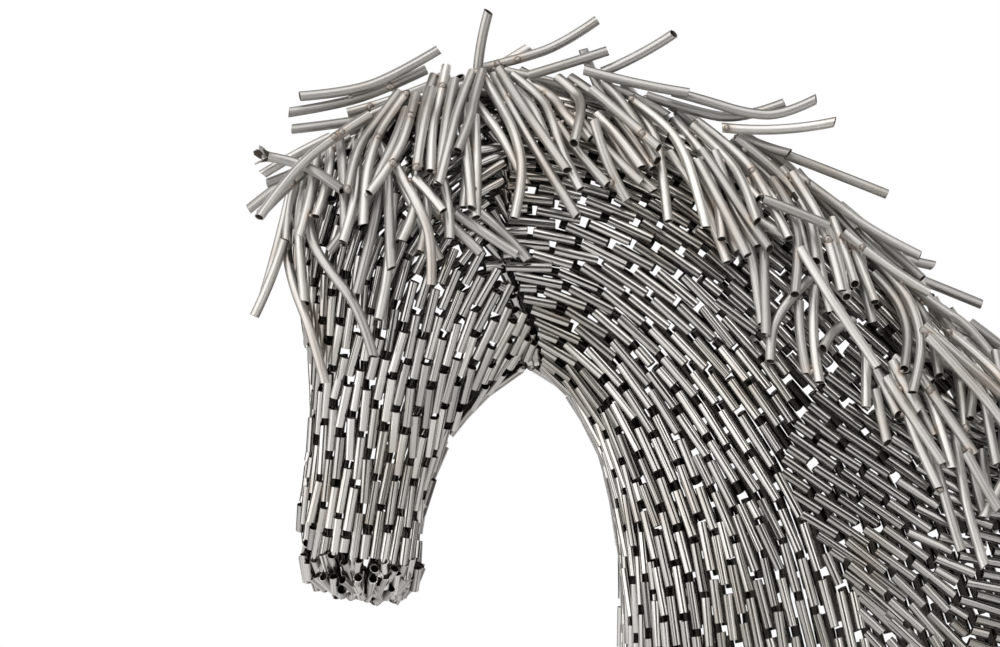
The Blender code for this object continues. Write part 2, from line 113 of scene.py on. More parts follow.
SHADE_ABOVE, SHADE_BEFORE = 0.40, -0.21  # above this height and in front of this place, pipes are darkened as painted shadow of the forelock
SHADE_MOST, SHADE_FADE = 0.7, 0.06  # by so much, over this height
LOOSE = 0.18  # the share of short pipes that lie raised and askew on their neighbours
LOOSE_LIFT = (0.0010, 0.0042)
LOOSE_TURN = 3.0
RAGGED = (-0.010, 0.022)  # how unevenly the columns start at the lips
HEAD_ENDS = 560  # left of this the pipes have the head's lengths

# Side-view lines where one family of columns meets the next, from top to bottom
HEAD_SEAM = (
    (508, 640), (508, 520), (505, 480), (500, 455), (500, 432), (510, 410), (520, 390), (530, 365),
    (536, 345), (537, 300),
)
SHOULDER_SEAM = (
    (852, 372), (840, 345), (822, 310), (804, 294), (780, 247), (775, 227), (786, 201), (794, 186),
    (810, 162), (832, 131), (851, 104), (853, 88), (866, 43), (880, 0), (890, -40),
)

# Headings of the head's pipes: x, z, degrees above +X, and of the shoulder's: x, z, degrees below +X
HEAD_HEADINGS = (
    (310, 465, 78), (335, 450, 73), (362, 430, 76), (390, 390, 86), (405, 425, 82), (395, 460, 64),
    (412, 445, 56), (430, 400, 64), (442, 390, 68), (465, 410, 59), (466, 376, 67), (486, 396, 57),
    (490, 420, 48), (460, 434, 52), (503, 390, 72), (506, 362, 68), (471, 325, 74), (447, 330, 75),
    (433, 312, 74), (490, 330, 64), (508, 345, 60), (512, 318, 44), (484, 512, 30), (486, 488, 32),
    (470, 535, 26), (500, 545, 18), (440, 500, 42), (400, 505, 54), (360, 512, 66), (320, 505, 72),
    (340, 300, 82), (357, 317, 72), (380, 260, 84), (415, 245, 77), (305, 300, 90), (308, 380, 88),
    (340, 160, 80), (362, 160, 80), (388, 158, 85), (412, 156, 82), (310, 160, 86), (455, 225, 66),
)
SHOULDER_HEADINGS = (
    (796, 238, 33), (812, 290, 43), (850, 260, 34), (860, 208, 33), (832, 190, 32), (900, 235, 32),
    (880, 170, 34), (910, 190, 32), (930, 150, 25), (952, 190, 19), (975, 185, 9), (978, 100, 8),
    (975, 60, 8), (955, 130, 20), (925, 88, 52), (910, 78, 54), (885, 90, 45), (865, 75, 41), (882, 50, 50),
    (905, 130, 30), (950, 260, 30), (980, 240, 16), (1010, 150, 10), (935, 45, 54), (1060, 120, 18),
    (1100, 40, 30), (1000, 20, 24), (880, 330, 42),
)
HEADING_REACH = 17  # over which a heading is felt
TRACE_STEP = 0.0012
TRACED_ROWS = 520
SHOULDER_TOP = 0.62  # how steeply the shoulder's columns leave the top of its seam
EDGE_ANGLE = 0.035  # how near the outline a traced column starts or ends
SMALL_STEP = 1e-3  # over which a surface's directions are taken
LAST_STEP = 0.02  # of a section, before the last one
MUZZLE_SECTION = 0.95
FACE_STARTS, MUZZLE_STARTS, JAW_STARTS = 160, 120, 200  # places where the head's columns may start
FACE_TOP, JAW_TOP, NECK_FROM = 5.6, 6.6, 5.4  # sections where the sheets of head and neck begin
SHOULDER_FROM = 8
SHOULDER_GRID = (300, 200)  # places among which the starts on the seam are found

# Rings of pipes that close the muzzle: section, number, how far they reach down, and how far out they
# stand lengthwise and crosswise at the upper end, and then at the lower one
MUZZLE_RINGS = (
    (0.94, 31, 0.027, 1.00, 1.07, 0.84, 0.56),
    (0.78, 26, 0.032, 0.72, 0.70, 0.66, 0.44),
    (0.60, 27, 0.021, 1.00, 1.12, 0.74, 0.44),
    (0.32, 15, 0.015, 0.88, 0.98, 0.58, 0.30),
    (0.16, 8, 0.011, 0.50, 0.52, 0.32, 0.10),
)
MUZZLE_SPACING = (0.35, 0.65)  # of a pipe's share of the ring
MUZZLE_UNEVEN = 0.008
MUZZLE_CUT = 0.3

# Welds, and the ends of the mane's pipes
WELD_REACH = 0.0035  # pipes closer than this, surface to surface, are welded
WELD_BEAD = 0.0034
NEIGHBOUR = 0.14  # between the middles of pipes that may be welded
BEAD_SIZE, BEAD_UNEVEN = (0.8, 1.4), (0.75, 1.2)
NUGGET = (0.0042, 0.0058)
NUGGET_SUNK = 0.7  # of the pipe's radius, from its middle towards the near side
NEARNESS = 0.15  # how much a pipe in front counts for more than one behind it
PLACES_A_PIPE = 88  # where a nugget may sit on it
HEAT_REACH = 0.011
HOT = 0.3  # the share of small beads that left a tint
ROOT_CUT, TIP_CUT = 0.25, 0.5  # the steepest slopes of the mane's cuts
TORN_PIPE = (345, 499)
TORN_FROM, TORN_FLARE, TORN_DEPTH = 0.86, 0.9, 0.012
PETALS, PETAL_TURN, PETAL_LEAST = 3, 0.8, 0.4

# Places of the side view where a large weld nugget shows
NUGGETS = (
    (409, 597), (409, 574), (370, 584), (348, 500), (415, 516), (442, 603), (375, 554), (394, 526),
    (392, 601), (329, 563), (346, 552), (294, 506), (438, 510), (443, 472), (491, 620), (497, 627),
    (518, 628), (628, 592), (642, 557), (749, 517), (727, 563), (808, 507), (858, 458), (861, 443),
    (820, 448), (943, 357), (926, 302), (964, 263),
)

# Pipes of the mane that fill the room which the others leave
FILLER_SEED = 21
NEAR_FILLERS, FAR_FILLERS, CREST_FILLERS = 80, 40, 40
FILLER_TRIES = 9  # for each that is wanted
FILLER_LEAST = 62  # pipes shorter than this aren't repeated, in squares
FILLER_SHIFT = (15, 9)  # in squares, away from the root of the pipe that it is like
FILLER_TURN = 9
FILLER_REACH = (0.72, 1.08)
FILLER_STAND_OFF = 10  # most that its tip stands out further than its root
FILLER_CLIMB = 0.3
FILLER_CROSSING = 0.0085  # most overlap that it starts with
FILLER_MISFIT = 0.0007  # most overlap that is left
FILLER_MOVED = 0.032  # most that it may have been pushed aside
CREST_PLACES = (6.4, 12.6)
CREST_HEIGHTS = (2, 26)
CREST_LIFT = (-8, 32)
CREST_DROOP = (0, 34)
CREST_REACH = (60, 125)
CREST_STAND_OFF = 8

# The highest that the fillers reach in the side view, and their lowest x
FILLER_TOP = (
    (285, 560), (300, 588), (400, 604), (440, 622), (560, 622), (600, 616), (640, 602), (680, 588),
    (740, 564), (780, 546), (800, 526), (850, 491), (900, 448), (930, 424), (960, 396), (1000, 352),
    (1060, 300), (1120, 200), (1160, 60),
)
FILLER_LEFT = 292

# Soft boxes: name, degrees right of the camera, degrees up, degrees wide and high, brightness
SOFT_BOXES = (
    ("key", -57, 14, 82, 66, 1.48),
    ("second", 27, 12, 20, 62, 1.25),
    ("third", 60, 12, 26, 60, 0.5),
    ("top", 0, 66, 56, 62, 1.35),
    ("back_left", -150, 20, 40, 60, 1.0),
    ("back_right", 130, 20, 40, 60, 1.0),
)
BOX_DISTANCE = 3.5
LIT_PLACE = (0.0, 0.0, 0.42)
LIGHT_COLOUR = (1.0, 0.99, 0.975)
AMBIENT = (0.072, 0.069, 0.065)
WHITE = (1, 1, 1)

# Floor and camera, at the photograph's scale
FLOOR_SIZE, FLOOR_SQUARES = 1.3, 8
FLOOR_ROUGHNESS, FLOOR_GLOW = 0.9, 0.10
FLOOR_GRAIN = (3.0, (1.0, 1.0, 1.0), 3.0)
FLOOR_COLOURS = ((0.84, 0.84, 0.84), (0.81, 0.81, 0.81))
PICTURE_WIDTH = 1000 * GRID
CAMERA_X, CAMERA_HEIGHT = 500 * GRID, (690 - 323.5) * GRID
CAMERA_DISTANCE = 10.0
SENSOR = 36

# The two steels: colour, colour of the streaks, stain, roughness, where round a pipe the painted shade
# between pipes begins and is full, relief, and how strongly the painted dark reflection lines show
POLISHED = ((0.80, 0.785, 0.765), (0.42, 0.405, 0.385), (0.38, 0.32, 0.26), 0.14, (-0.5, 0.15), 0.04, 0.9)
SATIN = ((0.77, 0.755, 0.735), (0.58, 0.565, 0.545), (0.45, 0.37, 0.30), 0.43, (-0.3, 0.3), 0.06, 0.35)
# colour of the painted dark reflection lines along the pipes
PAINTED_REFLECTION_LINE_COLOUR = (0.11, 0.10, 0.092)
STRAW, BURNT = (0.64, 0.55, 0.46), (0.30, 0.225, 0.18)
# colour of the painted shade on the sides of the short pipes that face the skin
INWARD_PAINTED_SHADE = (0.14, 0.127, 0.115)
# colour of the painted shade inside the hollow pipes
INSIDE_PAINTED_SHADE = (0.13, 0.11, 0.095)
BEAD_COLOUR = (0.46, 0.42, 0.39)

# Their noise: scale, how often it repeats round and along a pipe, and detail
STREAKS = (1.0, (420.0, 420.0, 5.0), 4.0)
FINE = (1.0, (1500.0, 1500.0, 30.0), 2.0)
PATCHES = (9.0, (1.0, 1.0, 1.0), 4.0)
# noise of the painted dark reflection lines along each pipe
PAINTED_REFLECTION_LINES = (1.0, (310.0, 310.0, 1.5), 1.0)

# From what to what each shows, and how strongly at both ends; the painted reflection lines' last strength is
# each steel's
STREAKS_SHOW, PAINTED_REFLECTION_LINES_SHOW = (0.50, 0.76, 0.0, 1.0), (0.60, 0.65, 0.0)
TONE_SHOWS, PATCHES_SHOW = (0.0, 1.0, 0.62, 1.12), (0.52, 0.72, 0.0, 0.5)
STRAW_SHOWS, BURNT_SHOWS = (0.0, 0.45, 0.0, 0.5), (0.40, 0.75, 0.0, 0.85)
FINE_SHOWS = (0.3, 0.7)
SMOOTHER, ROUGHER, INSIDE_ROUGHER = 0.05, 0.08, 0.35
RELIEF_DEPTH = 0.0003

# Sections from the lips, over the poll and down the neck: throat side (x, z), crest side (x, z), half
# width, and how much wider the crest side is than the throat side
SECTIONS = (
    ((402, 91), (326, 97), 27, 0.00),  # mouth
    ((422, 128), (302, 136), 43, 0.00),  # lips
    ((424, 172), (299, 190), 47, 0.05),  # muzzle
    ((436, 221), (309, 262), 52, 0.10),  # nose
    ((462, 265), (306, 338), 66, 0.10),  # cheek
    ((497, 301), (293, 418), 80, 0.05),  # jaw
    ((522, 317), (306, 508), 84, 0.00),  # brow
    ((537, 319), (410, 586), 80, -0.10),  # poll
    ((547, 314), (540, 598), 74, -0.20),  # nape
    ((568, 292), (672, 562), 76, -0.25),  # upper neck
    ((593, 248), (800, 485), 88, -0.25),  # mid neck
    ((611, 182), (920, 385), 108, -0.20),  # low neck
    ((620, 100), (1045, 250), 132, -0.12),  # chest
    ((620, 0), (1150, 0), 148, 0.00),  # cut
    ((620, -40), (1172, -40), 152, 0.00),  # below cut
)
THROAT = np.array([row[0] for row in SECTIONS], float) * GRID
CREST = np.array([row[1] for row in SECTIONS], float) * GRID
HALF_WIDTH = np.array([row[2] for row in SECTIONS], float) * GRID
CREST_SWELL = np.array([row[3] for row in SECTIONS], float)
LAST_SECTION = len(SECTIONS) - 1

# Bent pipes, listed one by one: root x, root z, reach in squares, headings at the root, at the middle and at
# the tip, how far the root stands nearer than the skin (below 0 is on the far side), how much more the tip,
# and the number of the welded piece that the pipe belongs to
REACH, STAND_OFF = 2, 6  # where these are in a row
FORELOCK = (
    (292, 510, 210, 120, 68, 86, 6, 2, 25),
    (285, 515, 124, 111, 98, 121, -8, -8, 26),
    (277, 450, 82, 97, 113, 115, 20, 8, 25),
    (304, 513, 123, 105, 86, 85, 0, 14, 25),
    (318, 532, 59, 160, 155, 165, 12, 6, 27),
    (300, 525, 71, 148, 141, 140, -6, -14, 28),
    (296, 522, 58, 141, 133, 132, 26, 10, 27),
    (325, 561, 78, 159, 148, 146, 14, 12, 29),
    (342, 544, 96, 80, 84, 100, 0, 6, 30),
    (378, 547, 132, 58, 62, 66, 0, 8, 31),
    (372, 582, 86, 165, 172, 174, -12, -16, 32),
    (345, 499, 97, 222, 203, 180, 4, -34, 30),
    (368, 580, 153, 150, 136, 118, 22, 34, 30),
    (423, 630, 145, 150, 160, 176, 4, 14, 33),
    (436, 650, 150, 145, 157, 186, 14, 8, 33),
    (385, 511, 117, 98, 104, 104, 0, 14, 34),
    (403, 602, 145, 133, 104, 88, 14, 14, 31),
    (416, 518, 72, 85, 100, 125, 0, 18, 31),
    (433, 619, 100, 112, 98, 80, 4, 14, 35),
    (412, 594, 109, 96, 112, 140, 8, 24, 35),
    (444, 508, 58, 66, 84, 100, 0, 10, 2),
    (418, 515, 44, 40, 52, 56, 0, 12, 31),
    (445, 633, 112, 92, 104, 76, 10, 22, 36),
    (472, 624, 120, 118, 102, 108, 14, 20, 1),
)
MANE = (
    (464, 584, 104, 82, 88, 105, 0, 8, 1),
    (454, 477, 76, 34, 34, 31, 2, 10, 2),
    (462, 602, 118, 50, 54, 76, 4, 12, 3),
    (478, 622, 163, 60, 72, 120, 0, 10, 3),
    (520, 626, 174, 31, 33, 57, -4, 6, 4),
    (575, 575, 95, 56, 47, 33, 0, 12, 5),
    (491, 619, 167, 66, 59, 59, 4, 14, 3),
    (497, 627, 126, 62, 56, 56, 12, 18, 3),
    (513, 620, 141, 18, 74, 48, 6, 16, 6),
    (558, 622, 85, 10, 88, 102, 8, 20, 5),
    (585, 650, 143, 85, 55, 62, 6, 10, 7),
    (600, 610, 98, 35, 60, 70, 0, 10, 7),
    (632, 590, 131, 33, 84, 74, 0, 12, 8),
    (631, 593, 156, 22, 66, 77, 8, 14, 8),
    (673, 572, 136, 35, 72, 92, 0, 16, 9),
    (700, 540, 120, 52, 60, 48, 0, 8, 9),
    (690, 564, 119, 34, 57, 84, 6, 14, 10),
    (747, 508, 156, 62, 90, 84, 0, 14, 10),
    (692, 566, 154, 14, 58, 62, 12, 16, 10),
    (732, 553, 156, 30, 62, 80, 0, 12, 11),
    (738, 558, 156, 36, 56, 98, 8, 16, 11),
    (760, 490, 68, 22, 22, 27, 6, 20, 10),
    (781, 526, 150, 47, 63, 90, 0, 14, 12),
    (813, 404, 96, 108, 88, 70, 4, 16, 13),
    (805, 446, 137, 63, 58, 57, 0, 8, 14),
    (850, 370, 44, 165, 140, 105, 0, 14, 15),
    (800, 525, 212, 52, 52, 76, 0, 14, 12),
    (863, 345, 60, 92, 92, 92, 2, 12, 16),
    (866, 436, 156, 38, 74, 120, 2, 22, 17),
    (900, 344, 66, 20, 22, 24, 2, 16, 18),
    (890, 332, 44, 32, 33, 31, 0, 12, 19),
    (892, 330, 130, 78, 72, 60, 0, 8, 20),
    (900, 318, 66, 62, 66, 52, 0, 6, 20),
    (915, 318, 95, 56, 57, 54, 2, 10, 19),
    (955, 320, 57, 80, 84, 88, 2, 14, 18),
    (950, 260, 136, 84, 80, 66, 0, 8, 21),
    (962, 245, 64, 62, 64, 52, 0, 6, 22),
    (911, 360, 150, 42, 40, 50, 0, 10, 17),
    (928, 360, 150, 50, 50, 62, 4, 10, 17),
    (945, 357, 130, 34, 52, 60, 2, 14, 23),
    (952, 355, 120, 36, 30, 50, 0, 16, 24),
)
STANDING_OFF = (
    (479, 622, 59, -92, -80, -68, 4, 6, 37),
    (480, 632, 128, -15, -16, -48, -4, -10, 38),
    (530, 622, 82, -8, -20, -12, 4, 12, 7),
    (488, 628, 46, -30, -30, -30, -12, -16, 38),
    (602, 616, 82, -20, -30, -38, 4, 12, 39),
    (585, 627, 107, 12, 18, -4, 6, 8, 7),
    (650, 602, 145, 20, 12, -45, 2, 12, 40),
    (676, 608, 151, 8, 18, -50, 14, 8, 40),
    (722, 568, 114, 18, -4, -18, 4, 16, 41),
    (740, 557, 53, 25, 18, 12, 4, 8, 11),
    (775, 535, 114, 24, 16, 32, 0, 6, 11),
    (798, 524, 152, 32, 40, 16, 4, 12, 12),
    (848, 480, 106, 46, 32, 0, -12, -8, 42),
    (858, 462, 62, 48, 44, 28, 0, 0, 12),
    (845, 458, 102, 42, 40, 20, 26, 14, 17),
    (880, 428, 112, 28, 18, 30, -4, -10, 42),
    (895, 410, 61, 42, 34, 33, 22, 8, 43),
    (920, 402, 103, 26, 40, 66, 4, 6, 24),
)

# Plainer pipes: the far side of the mane, and the near side behind the listed ones
FAR_PAIRS = 10
FAR_FROM, FAR_TO = 5.6, 12.5
BACK_PAIRS = 4
BACK_FROM, BACK_TO = 11.4, 12.5
FILL_REACH = (85, 150)
FILL_STAND_OFF = (2, 14)
FILL_SHIFT = (0.2, 0.8)  # of the way from one pair's place to the next
PAIR_SPACING = 1.2  # between the roots of a pair, in mane tubes
FILL_LIFT = (10, 30)  # degrees from the crest's slope to the root's heading
FILL_DROOP = (15, 35)  # degrees from the root's heading to the middle's
FILL_FLICK = (-22, 24)  # degrees from the middle's heading to the tip's
FILL_SEED = 7
SLOPE_STEP = 0.05  # of a section, over which the crest's slope is taken

# Laying the pipes on each other
SIDEWAYS = np.array([0.45, 1.0, 0.45])  # a pipe makes way towards its side more than in the side view
CURVE_POINTS = 25
WIDTH_SMOOTHINGS = 6
SETTLE_ROUNDS = 60
PULLED_ROUNDS = 36  # the first of them, in which the pipe also keeps its bend
SKIN_SAMPLES = 7  # places along a segment that are kept off the skin
SETTLED = 1e-6
PULL = 0.0008  # drawn towards the skin each round, at the root
SPREAD = 0.25  # how much of a push the next points of the pipe share
CLIMB = 0.7  # how strongly a pipe climbs outwards over what is below it


def along(values, place):
    """A smooth curve through the values at whole numbers of place."""
    place = np.clip(np.asarray(place, float), 0, len(values) - 1)
    first = np.minimum(place.astype(int), len(values) - 2)
    share = place - first
    share = share.reshape(share.shape + (1,) * (values.ndim - 1))
    ends = [2 * values[:1] - values[1:2], values, 2 * values[-1:] - values[-2:-1]]
    padded = np.concatenate(ends)
    before, low = padded[first], padded[first + 1]
    high, after = padded[first + 2], padded[first + 3]
    slope = (high - before) * share
    bend = (2 * before - 5 * low + 4 * high - after) * share**2
    twist = (3 * low - before - 3 * high + after) * share**3
    return low + 0.5 * (slope + bend + twist)


def rounded(value):
    return np.sign(value) * np.abs(value) ** (2 / SECTION_POWER)


def skin_points(section, angle):
    """Points of the outer skin: angle 0 is the crest, 90 the near side, 180 the throat."""
    middle = (along(THROAT, section) + along(CREST, section)) / 2
    half = (along(CREST, section) - along(THROAT, section)) / 2
    up = rounded(np.cos(angle))
    out = rounded(np.sin(angle)) * (1 + along(CREST_SWELL, section) * up)
    x = middle[..., 0] + half[..., 0] * up
    y = -along(HALF_WIDTH, section) * out
    z = middle[..., 1] + half[..., 1] * up
    return np.stack([x, y, z], -1)


def half_width_at(point):
    """Half the width of the skin at a point of the side view, and 0 outside its outline."""
    place = np.linspace(0, LAST_SECTION, PLACES_A_SECTION * LAST_SECTION + 1)
    throat = along(THROAT, place)
    chord = along(CREST, place) - throat
    to_point = point - throat
    length = (chord**2).sum(-1)
    aside = np.abs(chord[:, 0] * to_point[:, 1] - chord[:, 1] * to_point[:, 0]) / np.sqrt(length)
    share = (chord * to_point).sum(-1) / length
    best = np.argmin(aside + np.where(share < BELOW_THROAT, 1.0, 0.0))
    up = 2 * share[best] - 1
    if abs(up) >= 1:
        return 0.0
    width = along(HALF_WIDTH, place[best]) * (1 - abs(up) ** SECTION_POWER) ** (1 / SECTION_POWER)
    return float(width * (1 + along(CREST_SWELL, place[best]) * up))


def closed_loft(bm, rings):
    """Joins rings of points into one open tube of faces, and returns the rings of vertices."""
    rows = [[bm.verts.new(point) for point in ring] for ring in rings]
    for low, high in zip(rows, rows[1:]):
        for i in range(len(low)):
            j = (i + 1) % len(low)
            bm.faces.new((low[i], low[j], high[j], high[i]))
    return rows


def round_angles(count):
    return np.linspace(0, 2 * math.pi, count, endpoint=False)


def skin_surface():
    """The outer skin as an open mesh, closed at the mouth and open below."""
    angles = round_angles(SKIN_FACETS)
    places = np.linspace(0, LAST_SECTION, SKIN_COURSES + 1)
    bm = bmesh.new()
    rings = [skin_points(np.full(SKIN_FACETS, place), angles) for place in places]
    rows = closed_loft(bm, rings)
    middle = bm.verts.new(rings[0].mean(0))
    for i in range(SKIN_FACETS):
        bm.faces.new((rows[0][(i + 1) % SKIN_FACETS], rows[0][i], middle))
    bmesh.ops.recalc_face_normals(bm, faces=bm.faces)
    return bm


def heading_path(root, reach, headings, count):
    """Points of a bent pipe in the side view, from its root heading to its tip heading."""
    share = (np.arange(count - 1) + 0.5) / (count - 1)
    first, middle, last = headings
    heading = first * (1 - share) * (1 - 2 * share) + 4 * middle * share * (1 - share)
    heading = np.radians(heading + last * share * (2 * share - 1))
    steps = np.stack([np.cos(heading), -np.sin(heading)], -1) * reach / (count - 1)
    return np.concatenate([[root], root + np.cumsum(steps, 0)])


def lengths_along(points):
    """How far each point is from the first one, along the line."""
    return np.concatenate([[0], np.cumsum(np.linalg.norm(np.diff(points, axis=0), axis=1))])


def at_lengths(wanted, lengths, values):
    """Points or other values at the wanted lengths of a line."""
    return np.stack([np.interp(wanted, lengths, values[:, axis]) for axis in range(values.shape[1])], -1)


def spaced(points, count):
    """The same curve with its points evenly spaced."""
    lengths = lengths_along(points)
    return at_lengths(np.linspace(0, lengths[-1], count), lengths, points)


def draped(row, side):
    """A bent pipe's centreline, hung over one side of the skin: side 1 is near, -1 is far."""
    x, z, reach, first, middle, last, root_off, tip_more = row[:8]
    path = heading_path(np.array([x, z], float), reach, (first, middle, last), CURVE_POINTS) * GRID
    width = np.array([half_width_at(point) for point in path])
    for _ in range(WIDTH_SMOOTHINGS):
        width[1:-1] = (width[:-2] + 2 * width[1:-1] + width[2:]) / 4
    stand_off = np.linspace(root_off, root_off + tip_more, CURVE_POINTS) * GRID
    depth = width + MANE_RADIUS + np.abs(stand_off)
    points = np.stack([path[:, 0], -side * depth, path[:, 1]], -1)
    length = np.linalg.norm(np.diff(points, axis=0), axis=1).sum()
    turn = abs(middle - first) + abs(last - middle)
    segments = max(round(turn / BEND_A_SEGMENT) + 1, round(length / LONGEST_SEGMENT), 2)
    segments = min(segments, MOST_SEGMENTS)
    return spaced(points, segments + 1)


def unit(vectors):
    return vectors / np.maximum(np.linalg.norm(vectors, axis=-1, keepdims=True), TINY_LENGTH)


def closest_places(start, end, others, other_ends):
    """Where a segment comes closest to each of the others: its share there, and the places on both."""
    u = end - start
    v = other_ends - others
    w = start - others
    a = u @ u
    b = v @ u
    c = (v * v).sum(-1)
    d = w @ u
    e = (v * w).sum(-1)
    spread = a * c - b * b
    safe = np.maximum(spread, TINY_SPREAD)
    s = np.where(spread > TINY_SPREAD, np.clip((b * e - c * d) / safe, 0, 1), 0.5)
    t = np.clip((b * s + e) / c, 0, 1)
    s = np.clip((b * t - d) / a, 0, 1)
    return s, start + s[:, None] * u, others + t[:, None] * v


def push_segment(points, i, share, push):
    """Moves the ends of a line's segment so that the place at a share of it moves by the push."""
    weight = (1 - share) ** 2 + share**2
    points[i] += push * (1 - share) / weight
    points[i + 1] += push * share / weight


class Mane:
    """The pipes laid so far, each resting on the skin and on the pipes before it."""

    def __init__(self, skin_tree):
        self.skin = skin_tree
        self.pipes = []
        self.starts = np.zeros((0, 3))
        self.ends = np.zeros((0, 3))

    def away_from_skin(self, point, clearance):
        """The outward direction at the point, and how far it has still to move."""
        found, normal, _, _ = self.skin.find_nearest(Vector(point))
        offset = np.array(Vector(point) - found)
        outward = np.array(normal)
        height = float(offset @ outward)
        length = np.linalg.norm(offset)
        if height > 0 and length > TINY:
            outward = offset / length
            height = float(length)
        return outward, clearance - height

    def push_off_skin(self, points):
        moved = 0.0
        clearance = MANE_RADIUS + SKIN_GAP
        for i in range(len(points) - 1):
            for share in np.linspace(0, 1, SKIN_SAMPLES):
                point = points[i] * (1 - share) + points[i + 1] * share
                outward, lack = self.away_from_skin(point, clearance)
                if lack > 0:
                    push_segment(points, i, share, outward * lack)
                    moved = max(moved, lack)
        return moved

    def push_off_pipes(self, points, outward_share, side):
        moved = 0.0
        clearance = MANE_TUBE + TOUCH_GAP
        if not len(self.starts):
            return moved
        for i in range(len(points) - 1):
            shares, mine, theirs = closest_places(points[i], points[i + 1], self.starts, self.ends)
            apart = mine - theirs
            distance = np.linalg.norm(apart, axis=1)
            worst = int(np.argmin(distance))
            lack = clearance - distance[worst]
            if lack <= 0:
                continue
            outward, _ = self.away_from_skin(mine[worst], 0)
            outward[1] -= side
            push = apart[worst] / max(distance[worst], TINY) + outward_share * outward
            push *= SIDEWAYS
            push /= np.linalg.norm(push)
            push_segment(points, i, shares[worst], push * lack)
            moved = max(moved, lack)
        return moved

    def pull_down(self, points):
        """Draws the root half of a pipe towards the skin."""
        shares = np.linspace(1, 0, len(points))
        for point, share in zip(points, shares):
            outward, lack = self.away_from_skin(point, MANE_RADIUS + SKIN_GAP)
            if lack < 0:
                point -= outward * min(PULL * share**2, -lack)

    def settle(self, points, outward_share, side, pulled):
        """Moves a pipe off the skin and off the others, keeping its bend, and says what overlap is left."""
        wanted = points.copy()
        moved = 0.0
        for turn in range(SETTLE_ROUNDS):
            free = turn < PULLED_ROUNDS
            if free and pulled:
                self.pull_down(points)
            moved = self.push_off_pipes(points, outward_share, side)
            moved = max(moved, self.push_off_skin(points))
            if moved < SETTLED and not (free and pulled):
                break
            if free:
                shift = points - wanted
                shift[1:-1] += SPREAD * ((shift[:-2] + shift[2:]) / 2 - shift[1:-1])
                shift[0] += SPREAD * (shift[1] - shift[0])
                shift[-1] += SPREAD * (shift[-2] - shift[-1])
                points = wanted + shift
        return points, moved

    def lay(self, points, side):
        """Lays one more pipe. Where it can't settle, it climbs more steeply over what is below it."""
        outward_share = CLIMB
        points, moved = self.settle(points, outward_share, side, True)
        while moved >= SETTLED:
            outward_share *= 2
            points, moved = self.settle(points, outward_share, side, False)
        self.keep(points)

    def keep(self, points):
        self.pipes.append(points)
        self.starts = np.concatenate([self.starts, points[:-1]])
        self.ends = np.concatenate([self.ends, points[1:]])


def fill_rows(pairs, first, last, chance):
    """Plainer pipes, rooted in pairs along the crest, falling back and down like the listed ones."""
    rows = []
    for pair in range(pairs):
        place = first + (last - first) * (pair + chance.uniform(*FILL_SHIFT)) / pairs
        for _ in range(2):
            root = along(CREST, place)
            slope = (along(CREST, place + SLOPE_STEP) - root) / SLOPE_STEP
            start = math.degrees(math.atan2(-slope[1], slope[0])) + chance.uniform(*FILL_LIFT)
            middle = start + chance.uniform(*FILL_DROOP)
            end = middle + chance.uniform(*FILL_FLICK)
            reach = chance.uniform(*FILL_REACH)
            stand_off = chance.uniform(*FILL_STAND_OFF)
            rows.append((*(root / GRID), reach, start, middle, end, 0, stand_off, f"pair {pair}"))
            place += PAIR_SPACING * MANE_TUBE / np.linalg.norm(slope)
    return rows


def mane_rows():
    """Every pipe of the solids' mane, inner ones first: its kind, its row, and 1 for near or -1 for far."""
    chance = random.Random(FILL_SEED)
    far = fill_rows(FAR_PAIRS, FAR_FROM, FAR_TO, chance)
    back = fill_rows(BACK_PAIRS, BACK_FROM, BACK_TO, chance)
    rows = [("far_mane", row, -1) for row in far]
    rows += [("near_mane", row, 1) for row in back]
    for kind, table in (("near_mane", MANE), ("forelock", FORELOCK), ("crest", STANDING_OFF)):
        rows += [(kind, row, 1 if row[STAND_OFF] >= 0 else -1) for row in table]
    return rows


def welded_pieces(rows):
    """The pipes of each welded piece, in the order that they are laid."""
    pieces = {}
    for index, (_, row, side) in enumerate(rows):
        label = (row[-1], side) if isinstance(row[-1], str) else row[-1]
        pieces.setdefault(label, []).append(index)
    return list(pieces.values())


def weld_between(pipe, other):
    """Where two pipes come closest, side by side, and the gap that a weld has to fill."""
    least, place = math.inf, None
    beside = unit(other[1:] - other[:-1])
    for start, end in zip(pipe[:-1], pipe[1:]):
        _, mine, theirs = closest_places(start, end, other[:-1], other[1:])
        apart = mine - theirs
        distance = np.linalg.norm(apart, axis=1)
        lengthwise = np.abs(apart @ (end - start)) / np.linalg.norm(end - start)
        cost = distance + np.maximum(lengthwise, np.abs((apart * beside).sum(-1)))
        nearest = int(np.argmin(cost))
        if cost[nearest] < least:
            least, place = cost[nearest], (mine[nearest] + theirs[nearest]) / 2
    return place, least - MANE_TUBE


# What the pipes are gathered into, and how


def placed(name, data):
    """A new object in the scene."""
    made = bpy.data.objects.new(name, data)
    bpy.context.collection.objects.link(made)
    return made


def swept(points, radius, sides):
    """Rings of points round a line, without twist, and the line's direction at each."""
    steps = unit(np.diff(points, axis=0))
    axes = unit(np.concatenate([steps[:1], steps[:-1] + steps[1:], steps[-1:]]))
    across = np.cross(axes[0], FIRST_ACROSS)
    angle = round_angles(sides)
    rings = []
    for point, axis in zip(points, axes):
        across = across - axis * (across @ axis)
        across /= np.linalg.norm(across)
        beside = np.cross(axis, across)
        rings.append(point + radius * (np.cos(angle)[:, None] * across + np.sin(angle)[:, None] * beside))
    return np.array(rings), axes


